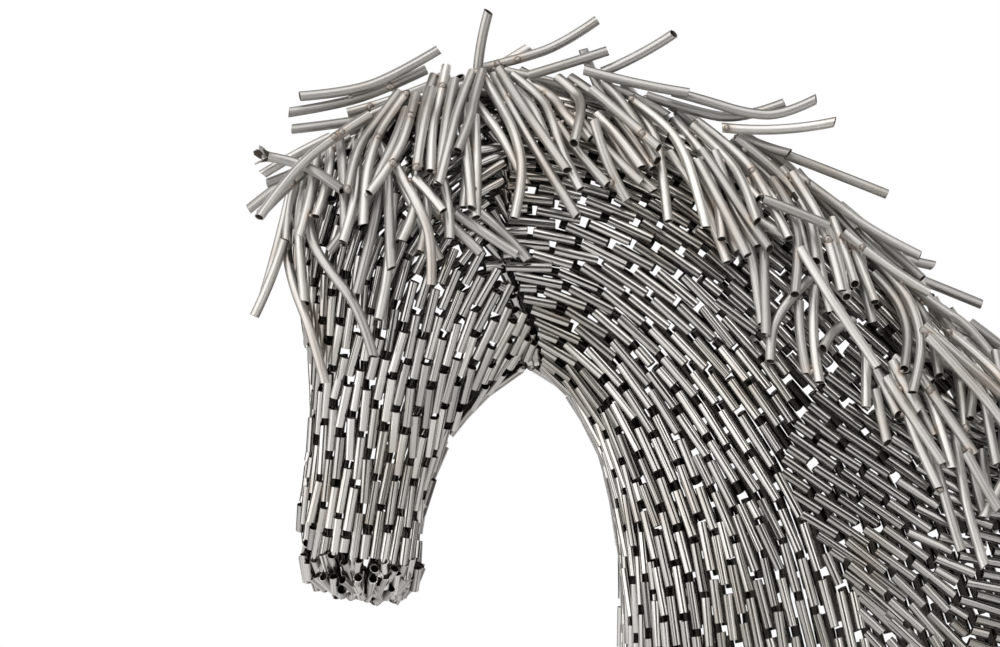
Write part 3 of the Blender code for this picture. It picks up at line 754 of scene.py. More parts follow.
class Tubes:
    """Pipes gathered into one mesh, with what their material needs to know about each."""

    def __init__(self):
        self.points = []
        self.faces = []
        self.places = []
        self.tones = []
        self.inward = []
        self.parts = []
        self.count = 0
        self.beads = []

    def add(self, points, faces, places, tone, parts, inward=None):
        self.points.append(points)
        self.places.append(places)
        self.tones.append(np.full(len(points), tone))
        self.inward.append(np.full(len(points), -1.0) if inward is None else inward)
        for quads, part in zip(faces, parts):
            self.faces.append(quads + self.count)
            self.parts.append(np.full(len(quads), part))
        self.count += len(points)

    def add_pipe(self, points, radius, sides, tone, cuts, inner_rings=2, shape=None, outward=None):
        """One hollow pipe along its points, with its ends cut square, on a slope or level with the floor."""
        outer, axes = swept(points, radius, sides)
        chosen = np.linspace(0, len(points) - 1, inner_rings).round().astype(int)
        inner = swept(points, radius - TUBE_WALL, sides)[0][chosen]
        travelled = lengths_along(points)
        for end, cut in zip((0, -1), cuts):
            for rings in (outer, inner):
                if isinstance(cut, str):
                    rings[end] -= axes[end] * (rings[end][:, 2] / axes[end][2])[:, None]
                elif cut is not None:
                    rings[end] += axes[end] * ((rings[end] - points[end]) @ cut)[:, None]
        if shape is not None:
            shape(outer, inner, points, axes)
        rows = len(outer)
        first_inner = rows * sides
        turn = np.arange(sides)
        following = np.roll(turn, -1)

        def strip(low, high):
            return np.stack([low + turn, low + following, high + following, high + turn], -1)

        outside = np.concatenate([strip(i * sides, (i + 1) * sides) for i in range(rows - 1)])
        inside = [strip(low + sides, low) for low in first_inner + sides * np.arange(inner_rings - 1)]
        last_inner = first_inner + (inner_rings - 1) * sides
        rims = [strip(first_inner, 0), strip((rows - 1) * sides, last_inner)]
        angle = round_angles(sides)
        lengths = np.concatenate([travelled, travelled[chosen]])
        places = np.empty((len(lengths), sides, 3))
        places[..., 0] = np.cos(angle) * radius + tone * STREAK_SHIFT
        places[..., 1] = np.sin(angle) * radius - tone * STREAK_SHIFT
        places[..., 2] = lengths[:, None]
        both = np.concatenate([outer.reshape(-1, 3), inner.reshape(-1, 3)])
        faces = [outside, np.concatenate(rims), np.concatenate(inside)]
        # how far each point faces the skin, which sets where the painted shade falls
        inward = None
        if outward is not None:
            centres = np.concatenate([points, points[chosen]])[:, None]
            inward = -((both.reshape(len(lengths), sides, 3) - centres) @ outward).ravel() / radius
        self.add(both, faces, places.reshape(-1, 3), tone, (OUTSIDE, RIM, INSIDE), inward)

    def add_bead(self, centre, radius, chance, hot):
        """A small uneven weld bead."""
        uneven = np.array([chance.uniform(*BEAD_UNEVEN) for _ in range(len(BEAD_POINTS))])
        points = centre + BEAD_POINTS * radius * uneven[:, None]
        self.add(points, [BEAD_FACES], points, chance.random(), (BEAD,))
        if hot:
            self.beads.append(centre)

    def heat(self, points):
        """How strongly each point is tinted by the nearest weld, from 0 to 1."""
        nearest = np.full(len(points), np.inf)
        for centre in self.beads:
            nearest = np.minimum(nearest, ((points - centre) ** 2).sum(1))
        return np.clip(1 - np.sqrt(nearest) / HEAT_REACH, 0, 1)

    def build(self, name, steel):
        """The gathered pipes as one object."""
        mesh = bpy.data.meshes.new(name)
        points = np.concatenate(self.points)
        sizes = np.concatenate([np.full(len(faces), faces.shape[1]) for faces in self.faces])
        corners = np.concatenate([faces.reshape(-1) for faces in self.faces])
        parts = np.concatenate(self.parts)
        mesh.vertices.add(len(points))
        mesh.vertices.foreach_set("co", points.astype(np.float32).ravel())
        mesh.loops.add(len(corners))
        mesh.loops.foreach_set("vertex_index", corners.astype(np.int32))
        mesh.polygons.add(len(sizes))
        mesh.polygons.foreach_set("loop_start", (np.cumsum(sizes) - sizes).astype(np.int32))
        mesh.polygons.foreach_set("use_smooth", parts != RIM)
        mesh.update(calc_edges=True)
        values = (
            ("pipe_place", "POINT", np.concatenate(self.places)),
            ("pipe_tone", "POINT", np.concatenate(self.tones)),
            ("pipe_inward", "POINT", np.concatenate(self.inward)),
            ("pipe_heat", "POINT", self.heat(points)),
            ("pipe_part", "FACE", parts),
        )
        for label, domain, numbers in values:
            kind, field = ("FLOAT", "value") if numbers.ndim == 1 else ("FLOAT_VECTOR", "vector")
            attribute = mesh.attributes.new(label, kind, domain)
            attribute.data.foreach_set(field, numbers.astype(np.float32).ravel())
        edges = np.empty(len(corners), np.int32)
        mesh.loops.foreach_get("edge_index", edges)
        rim_sides = np.bincount(edges, np.repeat(parts == RIM, sizes), len(mesh.edges))
        sharp = mesh.attributes.new("sharp_edge", "BOOLEAN", "EDGE")
        sharp.data.foreach_set("value", rim_sides == 1)
        mesh.materials.append(steel)
        return placed(name, mesh)


def bead_form():
    """Points and faces of a bead of radius 1."""
    bm = bmesh.new()
    bmesh.ops.create_icosphere(bm, subdivisions=2, radius=1)
    points = np.array([vert.co[:] for vert in bm.verts])
    faces = np.array([[vert.index for vert in face.verts] for face in bm.faces])
    bm.free()
    return points, faces


BEAD_POINTS, BEAD_FACES = bead_form()


# The columns of short pipes


class Sheet:
    """A part of the skin as rows of points, with lines that the columns follow running down the rows."""

    def __init__(self, points, normals):
        self.points = points
        self.normals = normals
        flow = unit(np.gradient(points, axis=0))
        steps = np.diff(points, axis=1)
        between = unit(flow[:, 1:] + flow[:, :-1])
        steps = steps - between * (steps * between).sum(-1, keepdims=True)
        widths = np.linalg.norm(steps, axis=-1)
        self.forward = np.linalg.norm(np.diff(points, axis=0), axis=-1)
        self.forward = np.concatenate([self.forward, self.forward[-1:]])
        running = self.forward > STOPPED
        widths *= running[:, 1:] & running[:, :-1]
        self.widths = np.concatenate([np.zeros((len(points), 1)), np.cumsum(widths, axis=1)], 1)

    def line(self, rows, across):
        """Points and normals of a column."""
        low = np.minimum(across.astype(int), self.points.shape[1] - 2)
        share = (across - low)[:, None]
        points = self.points[rows, low] * (1 - share) + self.points[rows, low + 1] * share
        normals = self.normals[rows, low] * (1 - share) + self.normals[rows, low + 1] * share
        return points, unit(normals)


class Column:
    """One line down a sheet: its place across it at each row, and how readily its neighbours change."""

    def __init__(self, across, patience):
        self.across = across
        self.patience = patience
        self.line = []


def columns(sheet, pitch, margin, bounds, held, chance):
    """Evenly spaced lines down a sheet, that start and end where it widens and narrows.

    With held, the first and last lines stay at the sheet's edges.
    """
    crowded, gaping, uneven = bounds
    samples = np.arange(sheet.points.shape[1])
    width = sheet.widths[0]
    count = max(int((width[-1] - 2 * margin * pitch) / pitch + 1.5), 2)
    wanted = np.linspace(margin * pitch, width[-1] - margin * pitch, count)
    live = [Column(np.interp(place, width, samples), chance.uniform(-uneven, uneven)) for place in wanted]
    done = []
    for row in range(len(sheet.points)):
        width = sheet.widths[row]
        places = np.interp([column.across for column in live], samples, width)
        forward = np.interp([column.across for column in live], samples, sheet.forward[row])
        stopped = np.nonzero(forward <= STOPPED)[0]
        for index in stopped[::-1]:
            done.append(live.pop(index))
        places = np.delete(places, stopped)
        forward = np.delete(forward, stopped)
        if len(live) > 2:
            shift = (places[:-2] + places[2:]) / 2 - places[1:-1]
            most = COLUMN_DRIFT * forward[1:-1]
            places[1:-1] += np.clip(shift * DRIFT_SHARE, -most, most)
        if held and live:
            places[0] = min(places[0], margin * pitch)
            places[-1] = max(places[-1], width[-1] - margin * pitch)
        index = 1
        while index < len(live) - 1:
            near = min(places[index] - places[index - 1], places[index + 1] - places[index]) / pitch
            if near < crowded + live[index].patience / 2:
                done.append(live.pop(index))
                places = np.delete(places, index)
                index += 1
            index += 1
        index = 1
        while index < len(live):
            if (places[index] - places[index - 1]) / pitch > gaping + live[index].patience:
                middle = (places[index] + places[index - 1]) / 2
                places = np.insert(places, index, middle)
                live.insert(index, Column(0.0, chance.uniform(-uneven, uneven)))
                index += 2
            index += 1
        if not live:
            break
        for column, place in zip(live, places):
            column.across = float(np.interp(place, width, samples))
            column.line.append((row, column.across))
    done += live
    return sorted((np.array(column.line) for column in done if len(column.line) > SHORTEST_LINE),
                  key=lambda line: line[:, 1].mean())


class Joints:
    """Where the gaps between short pipes are, so that those of neighbours are staggered."""

    def __init__(self):
        self.places = np.zeros((0, 3))

    def clearance(self, place):
        if not len(self.places):
            return STAGGER
        return min(float(np.sqrt(((self.places - place) ** 2).sum(1).min())), STAGGER)

    def add(self, places):
        self.places = np.concatenate([self.places, np.reshape(places, (-1, 3))])


def lay_column(points, normals, joints, chance):
    """Ends and outward directions of the straight pipes along one column."""
    travelled = lengths_along(points)
    total = travelled[-1]

    def at(length, values):
        return at_lengths(length, travelled, values)

    mine = []
    laid = []
    start = chance.uniform(0, END_GAP[0])
    while total - start > SHORTEST:
        best = None
        least, usual, most = HEAD_LENGTHS if at(start, points)[0] < HEAD_ENDS * GRID else NECK_LENGTHS
        for length in np.arange(least if laid else SHORTEST, most, LENGTH_STEP):
            length = min(length, total - start)
            ends = at(start, points), at(start + length, points)
            middle = at(start + length / 2, points)
            sag = np.linalg.norm((ends[0] + ends[1]) / 2 - middle)
            joint = at(min(start + length + END_GAP[0] * GAP_MIDDLE, total), points)
            cost = (STAGGER - joints.clearance(joint)) / STAGGER
            if laid:
                cost += LENGTH_COST * abs(length - usual) / (most - least)
            cost += max(0.0, sag - MOST_SAG) * SAG_COST + chance.uniform(0, CHANCE_COST)
            if best is None or cost < best[0]:
                best = (cost, length, joint)
        _, length, joint = best
        laid.append((at(start, points), at(start + length, points), at(start + length / 2, normals)))
        mine.append(joint)
        start += length + chance.uniform(*END_GAP)
    joints.add(mine)
    return laid


def outward_normals(points, middles):
    across = np.gradient(points, axis=1)
    down = np.gradient(points, axis=0)
    normals = unit(np.cross(across, down))
    facing = ((points - middles) * normals).sum(-1, keepdims=True)
    return normals * np.where(facing < 0, -1.0, 1.0)


def side_sheet(side, first_section, last_section):
    """One side of the form: side 1 is near and -1 far. Its lines run from the head down the neck."""
    sections = np.linspace(first_section, last_section, int((last_section - first_section) * ROWS_A_SECTION))
    angles = np.linspace(0, math.pi, COLUMN_SAMPLES) * side
    section, angle = np.meshgrid(sections, angles, indexing="ij")
    points = skin_points(section, angle)
    middles = (skin_points(section, 0 * angle) + skin_points(section, 0 * angle + math.pi)) / 2
    return Sheet(points, outward_normals(points, middles))


def heading_at(table, x, z):
    """The heading that the table gives near a place of the side-view grid, in degrees."""
    table = np.array(table, float)
    apart = (x[:, None] - table[:, 0]) ** 2 + (z[:, None] - table[:, 1]) ** 2
    nearest = apart.min(1, keepdims=True)
    weight = np.exp(-(apart - nearest) / (2 * HEADING_REACH**2))
    return (weight * table[:, 2]).sum(1) / weight.sum(1)


def traced_sheet(section, angle, table, upward, inside):
    """Lines that start at places on the near side and follow the table's headings until they leave."""
    rows, normals = [], []
    running = np.ones(len(section), bool)
    for _ in range(TRACED_ROWS):
        here = skin_points(section, angle)
        by_section = (skin_points(section + SMALL_STEP, angle) - here) / SMALL_STEP
        by_angle = (skin_points(section, angle + SMALL_STEP) - here) / SMALL_STEP
        normal = unit(np.cross(by_section, by_angle))
        normal *= np.where(normal[:, 1:2] > 0, -1.0, 1.0)
        rows.append(here)
        normals.append(normal)
        heading = np.radians(heading_at(table, here[:, 0] / GRID, here[:, 2] / GRID))
        x, z = np.cos(heading), np.sin(heading) * upward
        cross = by_section[:, 0] * by_angle[:, 2] - by_section[:, 2] * by_angle[:, 0]
        cross = np.where(np.abs(cross) < TINY, TINY, cross)
        turn_section = (x * by_angle[:, 2] - z * by_angle[:, 0]) / cross
        turn_angle = (z * by_section[:, 0] - x * by_section[:, 2]) / cross
        moved = by_section * turn_section[:, None] + by_angle * turn_angle[:, None]
        step = TRACE_STEP / np.maximum(np.linalg.norm(moved, axis=1), TINY)
        to_section = section + turn_section * step
        to_angle = angle + turn_angle * step
        running &= (to_angle > EDGE_ANGLE / 2) & (to_angle < math.pi - EDGE_ANGLE / 2)
        running &= (to_section > 0) & (to_section < LAST_SECTION - LAST_STEP) & inside(here)
        section = np.where(running, to_section, section)
        angle = np.where(running, to_angle, angle)
    return Sheet(np.array(rows), np.array(normals))


def head_sheet():
    """The near side of the head: its lines start down the face, round the muzzle and up the jaw."""
    face = np.linspace(FACE_TOP, MUZZLE_SECTION, FACE_STARTS)
    jaw = np.linspace(MUZZLE_SECTION, JAW_TOP, JAW_STARTS)
    section = np.concatenate([face, np.full(MUZZLE_STARTS, MUZZLE_SECTION), jaw])
    low, high = EDGE_ANGLE, math.pi - EDGE_ANGLE
    muzzle = np.linspace(low, high, MUZZLE_STARTS)
    angle = np.concatenate([np.full(FACE_STARTS, low), muzzle, np.full(JAW_STARTS, high)])
    return traced_sheet(section, angle, HEAD_HEADINGS, 1, lambda place: ~past_seam(place, HEAD_SEAM))


def shoulder_sheet():
    """The near side behind the seam, where the columns leave the seam and run back across the shoulder."""
    starts = spaced(np.array(SHOULDER_SEAM, float) * GRID, COLUMN_SAMPLES)
    sections = np.linspace(SHOULDER_FROM, LAST_SECTION, SHOULDER_GRID[0])
    angles = np.linspace(0, math.pi, SHOULDER_GRID[1])
    sections, angles = np.meshgrid(sections, angles, indexing="ij")
    grid = skin_points(sections, angles)[..., (0, 2)].reshape(-1, 2)
    nearest = [int(((grid - start) ** 2).sum(1).argmin()) for start in starts]
    section, angle = sections.ravel()[nearest], angles.ravel()[nearest]
    return traced_sheet(section, angle, SHOULDER_HEADINGS, -1, lambda place: place[:, 0] > 0)


def past_seam(places, seam, fall=0.0):
    """Whether points of the side view are right of a seam, below a line that falls from its top."""
    seam = np.array(seam, float)[::-1] * GRID
    edge = np.interp(places[:, 2], seam[:, 1], seam[:, 0])
    return (places[:, 0] > edge) & (places[:, 2] < seam[-1, 1] - fall * (places[:, 0] - seam[-1, 0]))


def runs(kept):
    """The first and last row of each stretch that is kept."""
    edges = np.diff(np.concatenate([[0], kept.astype(int), [0]]))
    return zip(np.nonzero(edges == 1)[0], np.nonzero(edges == -1)[0])


def forelock_shade(place):
    """What is left of a short pipe's tone under the forelock's painted shadow."""
    if place[0] >= SHADE_BEFORE:
        return 1
    return 1 - SHADE_MOST * min(max((place[2] - SHADE_ABOVE) / SHADE_FADE, 0), 1)


def add_short_pipes(tubes, laid, chance, shift, ragged, most_tone):
    """Straight pipes from their ends on the skin, each a little out of line."""
    for number, (start, end, outward) in enumerate(laid):
        axis = unit(end - start)
        outward = unit(outward - axis * (outward @ axis))
        aside = np.cross(axis, outward)
        loose = chance.random() < LOOSE
        turn = LOOSE_TURN if loose else 1
        tilt = outward * chance.gauss(0, LIFTED) + aside * chance.gauss(0, TURNED) * turn
        if number == 0:
            start = start - axis * chance.uniform(*ragged)
        half = (end - start) / 2
        reach = np.linalg.norm(half)
        height = chance.uniform(*LOOSE_LIFT) if loose else chance.gauss(0, RAISED)
        middle = (start + end) / 2 - outward * (SKIN_RADIUS - height)
        axis = unit(axis + tilt)
        points = np.array([middle - axis * reach, middle + axis * reach]) + shift
        cuts = [None, None]
        if max(points[:, 2]) < SKIN_RADIUS:
            continue
        for index in (0, 1):
            other = points[1 - index]
            low = points[index][2] - SKIN_RADIUS * math.sqrt(max(0, 1 - axis[2] ** 2))
            if low < 0 and abs(axis[2]) > LYING:
                rise = axis * np.sign(axis[2])
                if points[index][2] < 0:
                    points[index] = points[index] - rise * (points[index][2] / rise[2])
                cuts[index] = "floor"
            elif low < 0:
                points[index] = points[index] + np.array([0, 0, -low])
            else:
                cuts[index] = unit(outward * chance.gauss(0, 1) + aside * chance.gauss(0, 1)) * SLOPED_CUT
                cuts[index] *= chance.random()
        if np.linalg.norm(points[1] - points[0]) > SHORTEST / 2:
            tone = chance.uniform(0, most_tone) * forelock_shade(points[0])
            tubes.add_pipe(points, SKIN_RADIUS, SKIN_SIDES, tone, cuts, outward=outward)


# The mane's pipes


def smooth_bend(points, count):
    """A smooth line that starts and ends with a polyline and rounds its corners."""
    if len(points) == 2:
        return spaced(points, count)
    middles = (points[1:-2] + points[2:-1]) / 2
    starts = [points[0], *middles]
    ends = [*middles, points[-1]]
    share = np.linspace(0, 1, BEND_SAMPLES)[:, None]
    curve = [starts[0][None]]
    for start, corner, end in zip(starts, points[1:-1], ends):
        bow = (1 - share) ** 2 * start + 2 * share * (1 - share) * corner + share**2 * end
        curve.append(bow[1:])
    return spaced(np.concatenate(curve), count)


def torn_end(outer, inner, points, axes):
    """Flares the last rings of a pipe into torn petals."""
    petals = 0.5 + 0.5 * np.cos(PETALS * round_angles(outer.shape[1]) + PETAL_TURN)
    for rings in (outer, inner):
        count = len(rings)
        for row in range(count):
            share = max(0.0, (row / (count - 1) - TORN_FROM) / (1 - TORN_FROM))
            centre = points[round(row * (len(points) - 1) / (count - 1))]
            outward = rings[row] - centre
            rings[row] = centre + outward * (1 + TORN_FLARE * share**2 * (PETAL_LEAST + petals))[:, None]
            rings[row] -= axes[-1] * (TORN_DEPTH * share**2 * (1 - petals))[:, None]


def build_mane(shift, steel):
    """All pipes of the mane, those of the solids in their places and more between them, by kind."""
    mane = Mane(BVHTree.FromBMesh(skin_surface()))
    rows = mane_rows()
    for _, row, side in rows:
        mane.lay(draped(row, side), side)
    pieces = welded_pieces(rows)
    add_fillers(mane, rows, pieces)
    gathered = {}
    chance = random.Random(MANE_SEED)
    for members in pieces:
        kind = rows[members[0]][0]
        tubes = gathered.setdefault(kind, Tubes())
        for index in members:
            points = smooth_bend(mane.pipes[index] + shift, MANE_RINGS)
            root_cut = random_cut(points[0] - points[1], chance, ROOT_CUT)
            cuts = [root_cut, random_cut(points[-1] - points[-2], chance, TIP_CUT)]
            torn = torn_end if rows[index][1][:2] == TORN_PIPE else None
            tubes.add_pipe(points, MANE_RADIUS, MANE_SIDES, chance.random(), cuts, MANE_INNER_RINGS, torn)
    for index, pipe in enumerate(mane.pipes):
        tubes = gathered[rows[index][0]]
        for place in contacts(pipe, mane.pipes[:index]):
            size = WELD_BEAD * chance.uniform(*BEAD_SIZE)
            hot = chance.random() < HOT
            tubes.add_bead(place + shift, size, chance, hot)
    for x, z in NUGGETS:
        place, index = nearest_pipe(mane, np.array((x, z)) * GRID)
        gathered[rows[index][0]].add_bead(place + shift, chance.uniform(*NUGGET), chance, True)
    return {kind: tubes.build(f"{kind}_pipes", steel) for kind, tubes in gathered.items()}


def nearest_pipe(mane, spot):
    """The front of the pipe that shows nearest to a place of the side view, and which pipe it is."""
    best = None
    for index, pipe in enumerate(mane.pipes):
        points = spaced(pipe, PLACES_A_PIPE)
        cost = np.linalg.norm(points[:, (0, 2)] - spot, axis=1) + NEARNESS * points[:, 1]
        least = int(np.argmin(cost))
        if best is None or cost[least] < best[0]:
            best = (cost[least], points[least] - np.array([0, MANE_RADIUS * NUGGET_SUNK, 0]), index)
    return best[1], best[2]


def like_another(rows, chance):
    """A row for a pipe like one of those given, a little aside."""
    x, z, reach, first, middle, last, stand_off = chance.choice(rows)[:7]
    x += chance.gauss(0, FILLER_SHIFT[0])
    z += chance.gauss(0, FILLER_SHIFT[1])
    turn = chance.gauss(0, FILLER_TURN)
    middle += turn + chance.gauss(0, FILLER_TURN)
    last += turn + chance.gauss(0, 2 * FILLER_TURN)
    return (x, z, reach * chance.uniform(*FILLER_REACH), first + turn, middle, last, abs(stand_off) / 2,
            chance.uniform(0, FILLER_STAND_OFF))


def along_crest(chance):
    """A row for a pipe that lies along the crest, above the skin."""
    place = chance.uniform(*CREST_PLACES)
    root = along(CREST, place) / GRID
    slope = along(CREST, place + SLOPE_STEP) / GRID - root
    slope /= np.linalg.norm(slope)
    root = root + np.array([-slope[1], slope[0]]) * chance.uniform(*CREST_HEIGHTS)
    first = math.degrees(math.atan2(-slope[1], slope[0])) + chance.uniform(*CREST_LIFT)
    middle = first + chance.uniform(*CREST_DROOP)
    last = middle + chance.gauss(0, 2 * FILLER_TURN)
    return (*root, chance.uniform(*CREST_REACH), first, middle, last, chance.uniform(0, CREST_STAND_OFF),
            chance.uniform(0, FILLER_STAND_OFF))


def within_outline(mane, points):
    """Whether a pipe stays inside the mane's outline in the side view, and between its ends and sides."""
    top = np.array(FILLER_TOP, float) * GRID
    low, high = mane.starts.min(0), mane.ends.max(0)
    inside = points[:, 2] < np.interp(points[:, 0], top[:, 0], top[:, 1])
    inside &= points[:, 0] > FILLER_LEFT * GRID
    inside &= (points > low).all(1) & (points < high).all(1)
    return inside.all() and points[:, 2].min() > MANE_TUBE


def add_fillers(mane, rows, pieces):
    """Lays more pipes in the room that the others leave, and adds them to the rows and pieces."""
    chance = random.Random(FILLER_SEED)
    near = [row for row in (*MANE, *FORELOCK, *FORELOCK) if row[STAND_OFF] >= 0 and row[REACH] > FILLER_LEAST]
    plans = (
        ("crest", 1, CREST_FILLERS, lambda: along_crest(chance)),
        ("near_mane", 1, NEAR_FILLERS, lambda: like_another(near, chance)),
        ("far_mane", -1, FAR_FILLERS, lambda: like_another(near, chance)),
        ("far_mane", -1, CREST_FILLERS // 2, lambda: along_crest(chance)),
    )
    for kind, side, wanted, plan in plans:
        found = tried = 0
        while found < wanted and tried < wanted * FILLER_TRIES:
            tried += 1
            row = plan()
            points = draped(row, side)
            if not within_outline(mane, points):
                continue
            if mane.push_off_pipes(points.copy(), 0, side) > FILLER_CROSSING:
                continue
            laid, overlap = mane.settle(points.copy(), FILLER_CLIMB, side, True)
            if overlap > FILLER_MISFIT or np.abs(laid - points).max() > FILLER_MOVED:
                continue
            if not within_outline(mane, laid):
                continue
            mane.keep(laid)
            pieces.append([len(rows)])
            rows.append((kind, row, side))
            found += 1


def contacts(pipe, others):
    """Places where a pipe comes within a weld's reach of other pipes, one for each of them."""
    near = [other for other in others if np.linalg.norm(other.mean(0) - pipe.mean(0)) <= NEIGHBOUR]
    return [place for place, gap in (weld_between(pipe, other) for other in near) if gap < WELD_REACH]


def random_cut(axis, chance, most):
    """The slope of a cut that is a little off square."""
    axis = unit(axis)
    aside = unit(np.cross(axis, [chance.gauss(0, 1) for _ in range(3)]))
    return aside * chance.uniform(-most, most)


# The skin


def build_skin(shift, steel):
    """The short pipes of the skin, gathered by region."""
    chance = random.Random(SKIN_SEED)
    joints = Joints()
    neck = side_sheet(1, NECK_FROM, LAST_SECTION)
    far = side_sheet(-1, MUZZLE_SECTION, LAST_SECTION)
    families = (
        ("head_pipes", head_sheet(), NEAR_PITCH, 0, NEAR_BOUNDS, HEAD_TONE, lambda place: place[:, 0] > 0),
        ("neck_pipes", neck, NEAR_PITCH, 0, NEAR_BOUNDS, 1,
         lambda place: past_seam(place, HEAD_SEAM) & ~past_seam(place, SHOULDER_SEAM, SHOULDER_TOP)),
        ("shoulder_pipes", shoulder_sheet(), SHOULDER_PITCH, SHOULDER_MARGIN, SHOULDER_BOUNDS, SHOULDER_TONE,
         lambda place: place[:, 2] > -SKIN_TUBE),
        ("far_pipes", far, FAR_PITCH, FAR_MARGIN, FAR_BOUNDS, 1, lambda place: place[:, 2] > -SKIN_TUBE),
    )
    made = {}
    for name, sheet, pitch, margin, bounds, most_tone, keep in families:
        tubes = Tubes()
        for line in columns(sheet, pitch, margin, bounds, name == "far_pipes", chance):
            points, normals = sheet.line(line[:, 0].astype(int), line[:, 1])
            for first, last in runs(keep(points)):
                if last - first > SHORTEST_LINE:
                    laid = lay_column(points[first:last], normals[first:last], joints, chance)
                    at_lips = line[0, 0] == 0 and first == 0 and name in ("head_pipes", "far_pipes")
                    add_short_pipes(tubes, laid, chance, shift, RAGGED if at_lips else (0, 0), most_tone)
        if name == "head_pipes":
            add_muzzle(tubes, chance, shift)
        made[name] = tubes.build(name, steel)
    return made


def add_muzzle(tubes, chance, shift):
    """Rings of open pipes that close the muzzle, standing out above and drawn in below."""
    for section, count, drop, top_x, top_y, low_x, low_y in MUZZLE_RINGS:
        for number in range(count):
            angle = 2 * math.pi * (number + chance.uniform(*MUZZLE_SPACING)) / count
            rim, front, back = skin_points(np.full(3, section), np.array([angle, 0.0, math.pi]))
            middle = (front + back) / 2
            out = rim - middle
            uneven = [chance.uniform(-MUZZLE_UNEVEN, MUZZLE_UNEVEN) for _ in range(4)]
            top = middle + out * (top_x, top_y, 1) + (0, 0, uneven[0])
            low = middle + out * (low_x, low_y, 1) + (uneven[1], uneven[2] / 2, -drop + uneven[3] / 2)
            cuts = [random_cut(top - low, chance, MUZZLE_CUT) for _ in range(2)]
            points = np.array([top, low]) + shift
            tubes.add_pipe(points, SKIN_RADIUS, SKIN_SIDES, chance.random(), cuts, outward=unit(out))


# Materials, light and camera


class Nodes:
    """Short hand for building a shader."""

    def __init__(self, name):
        self.material = bpy.data.materials.new(name)
        self.material.use_nodes = True
        self.tree = self.material.node_tree
        self.shader = self.tree.nodes["Principled BSDF"]

    def add(self, kind, **values):
        node = self.tree.nodes.new(kind)
        for key, value in values.items():
            setattr(node, key, value)
        return node

    def join(self, output, target):
        self.tree.links.new(output, target)

    def attribute(self, name):
        return self.add("ShaderNodeAttribute", attribute_name=name)

    def maths(self, operation, first, second):
        node = self.add("ShaderNodeMath", operation=operation)
        for socket, value in zip(node.inputs, (first, second)):
            if isinstance(value, float):
                socket.default_value = value
            else:
                self.join(value, socket)
        return node.outputs[0]

    def noise(self, place, scale, stretch, detail):
        """Noise over a place whose axes are stretched, from 0 to 1."""
        stretched = self.add("ShaderNodeVectorMath", operation="MULTIPLY")
        self.join(place, stretched.inputs[0])
        stretched.inputs[1].default_value = stretch
        made = self.add("ShaderNodeTexNoise")
        made.inputs["Scale"].default_value = scale
        made.inputs["Detail"].default_value = detail
        self.join(stretched.outputs[0], made.inputs["Vector"])
        return made.outputs["Fac"]

    def spread(self, value, low, high, new_low, new_high):
        node = self.add("ShaderNodeMapRange")
        self.join(value, node.inputs["Value"])
        numbers = {"From Min": low, "From Max": high, "To Min": new_low, "To Max": new_high}
        for name, number in numbers.items():
            node.inputs[name].default_value = number
        return node.outputs[0]

    def mix(self, share, first, second):
        node = self.add("ShaderNodeMix", data_type="RGBA")
        self.join(share, node.inputs["Factor"])
        for socket, value in ((node.inputs["A"], first), (node.inputs["B"], second)):
            if isinstance(value, tuple):
                socket.default_value = (*value, 1)
            else:
                self.join(value, socket)
        return node.outputs["Result"]


def steel(name, bright, dark, tint, rough, edges, relief, lines):
    """Brushed steel with streaks along each pipe, its own tone, heat tints, rough insides painted dark as
    shade, painted shade on the sides that face the skin and painted dark reflection lines.
    """
    nodes = Nodes(name)
    place = nodes.attribute("pipe_place").outputs["Vector"]
    tone, part, heat, inward = (nodes.attribute(label).outputs["Fac"]
                                for label in ("pipe_tone", "pipe_part", "pipe_heat", "pipe_inward"))
    where = nodes.add("ShaderNodeTexCoord").outputs["Object"]
    streaks = nodes.noise(place, *STREAKS)
    colour = nodes.mix(nodes.spread(streaks, *STREAKS_SHOW), bright, dark)
    # painted dark reflection lines along each pipe
    colour = nodes.mix(nodes.spread(nodes.noise(place, *PAINTED_REFLECTION_LINES), *PAINTED_REFLECTION_LINES_SHOW, lines), colour, PAINTED_REFLECTION_LINE_COLOUR)
    toned = nodes.add("ShaderNodeHueSaturation")
    nodes.join(colour, toned.inputs["Color"])
    nodes.join(nodes.spread(tone, *TONE_SHOWS), toned.inputs["Value"])
    past_rim = nodes.maths("GREATER_THAN", part, RIM + 0.5)
    inside = nodes.maths("MULTIPLY", past_rim, nodes.maths("LESS_THAN", part, BEAD - 0.5))
    layers = (
        (nodes.spread(nodes.noise(where, *PATCHES), *PATCHES_SHOW), tint),
        (nodes.spread(heat, *STRAW_SHOWS), STRAW),
        (nodes.spread(heat, *BURNT_SHOWS), BURNT),
        # painted shade round the sides of each short pipe, fullest where it faces the skin
        (nodes.spread(inward, *edges, 0.0, 1.0), INWARD_PAINTED_SHADE),
        # painted shade inside the hollow pipes; their greater roughness is the steel's own
        (inside, INSIDE_PAINTED_SHADE),
        (nodes.maths("GREATER_THAN", part, BEAD - 0.5), BEAD_COLOUR),
    )
    stained = toned.outputs[0]
    for share, layer in layers:
        stained = nodes.mix(share, stained, layer)
    nodes.join(stained, nodes.shader.inputs["Base Color"])
    nodes.shader.inputs["Metallic"].default_value = 1
    roughness = nodes.spread(nodes.noise(place, *FINE), *FINE_SHOWS, rough - SMOOTHER, rough + ROUGHER)
    roughness = nodes.maths("ADD", roughness, nodes.maths("MULTIPLY", inside, INSIDE_ROUGHER))
    nodes.join(roughness, nodes.shader.inputs["Roughness"])
    bump = nodes.add("ShaderNodeBump")
    bump.inputs["Strength"].default_value = relief
    bump.inputs["Distance"].default_value = RELIEF_DEPTH
    nodes.join(streaks, bump.inputs["Height"])
    nodes.join(bump.outputs[0], nodes.shader.inputs["Normal"])
    return nodes.material


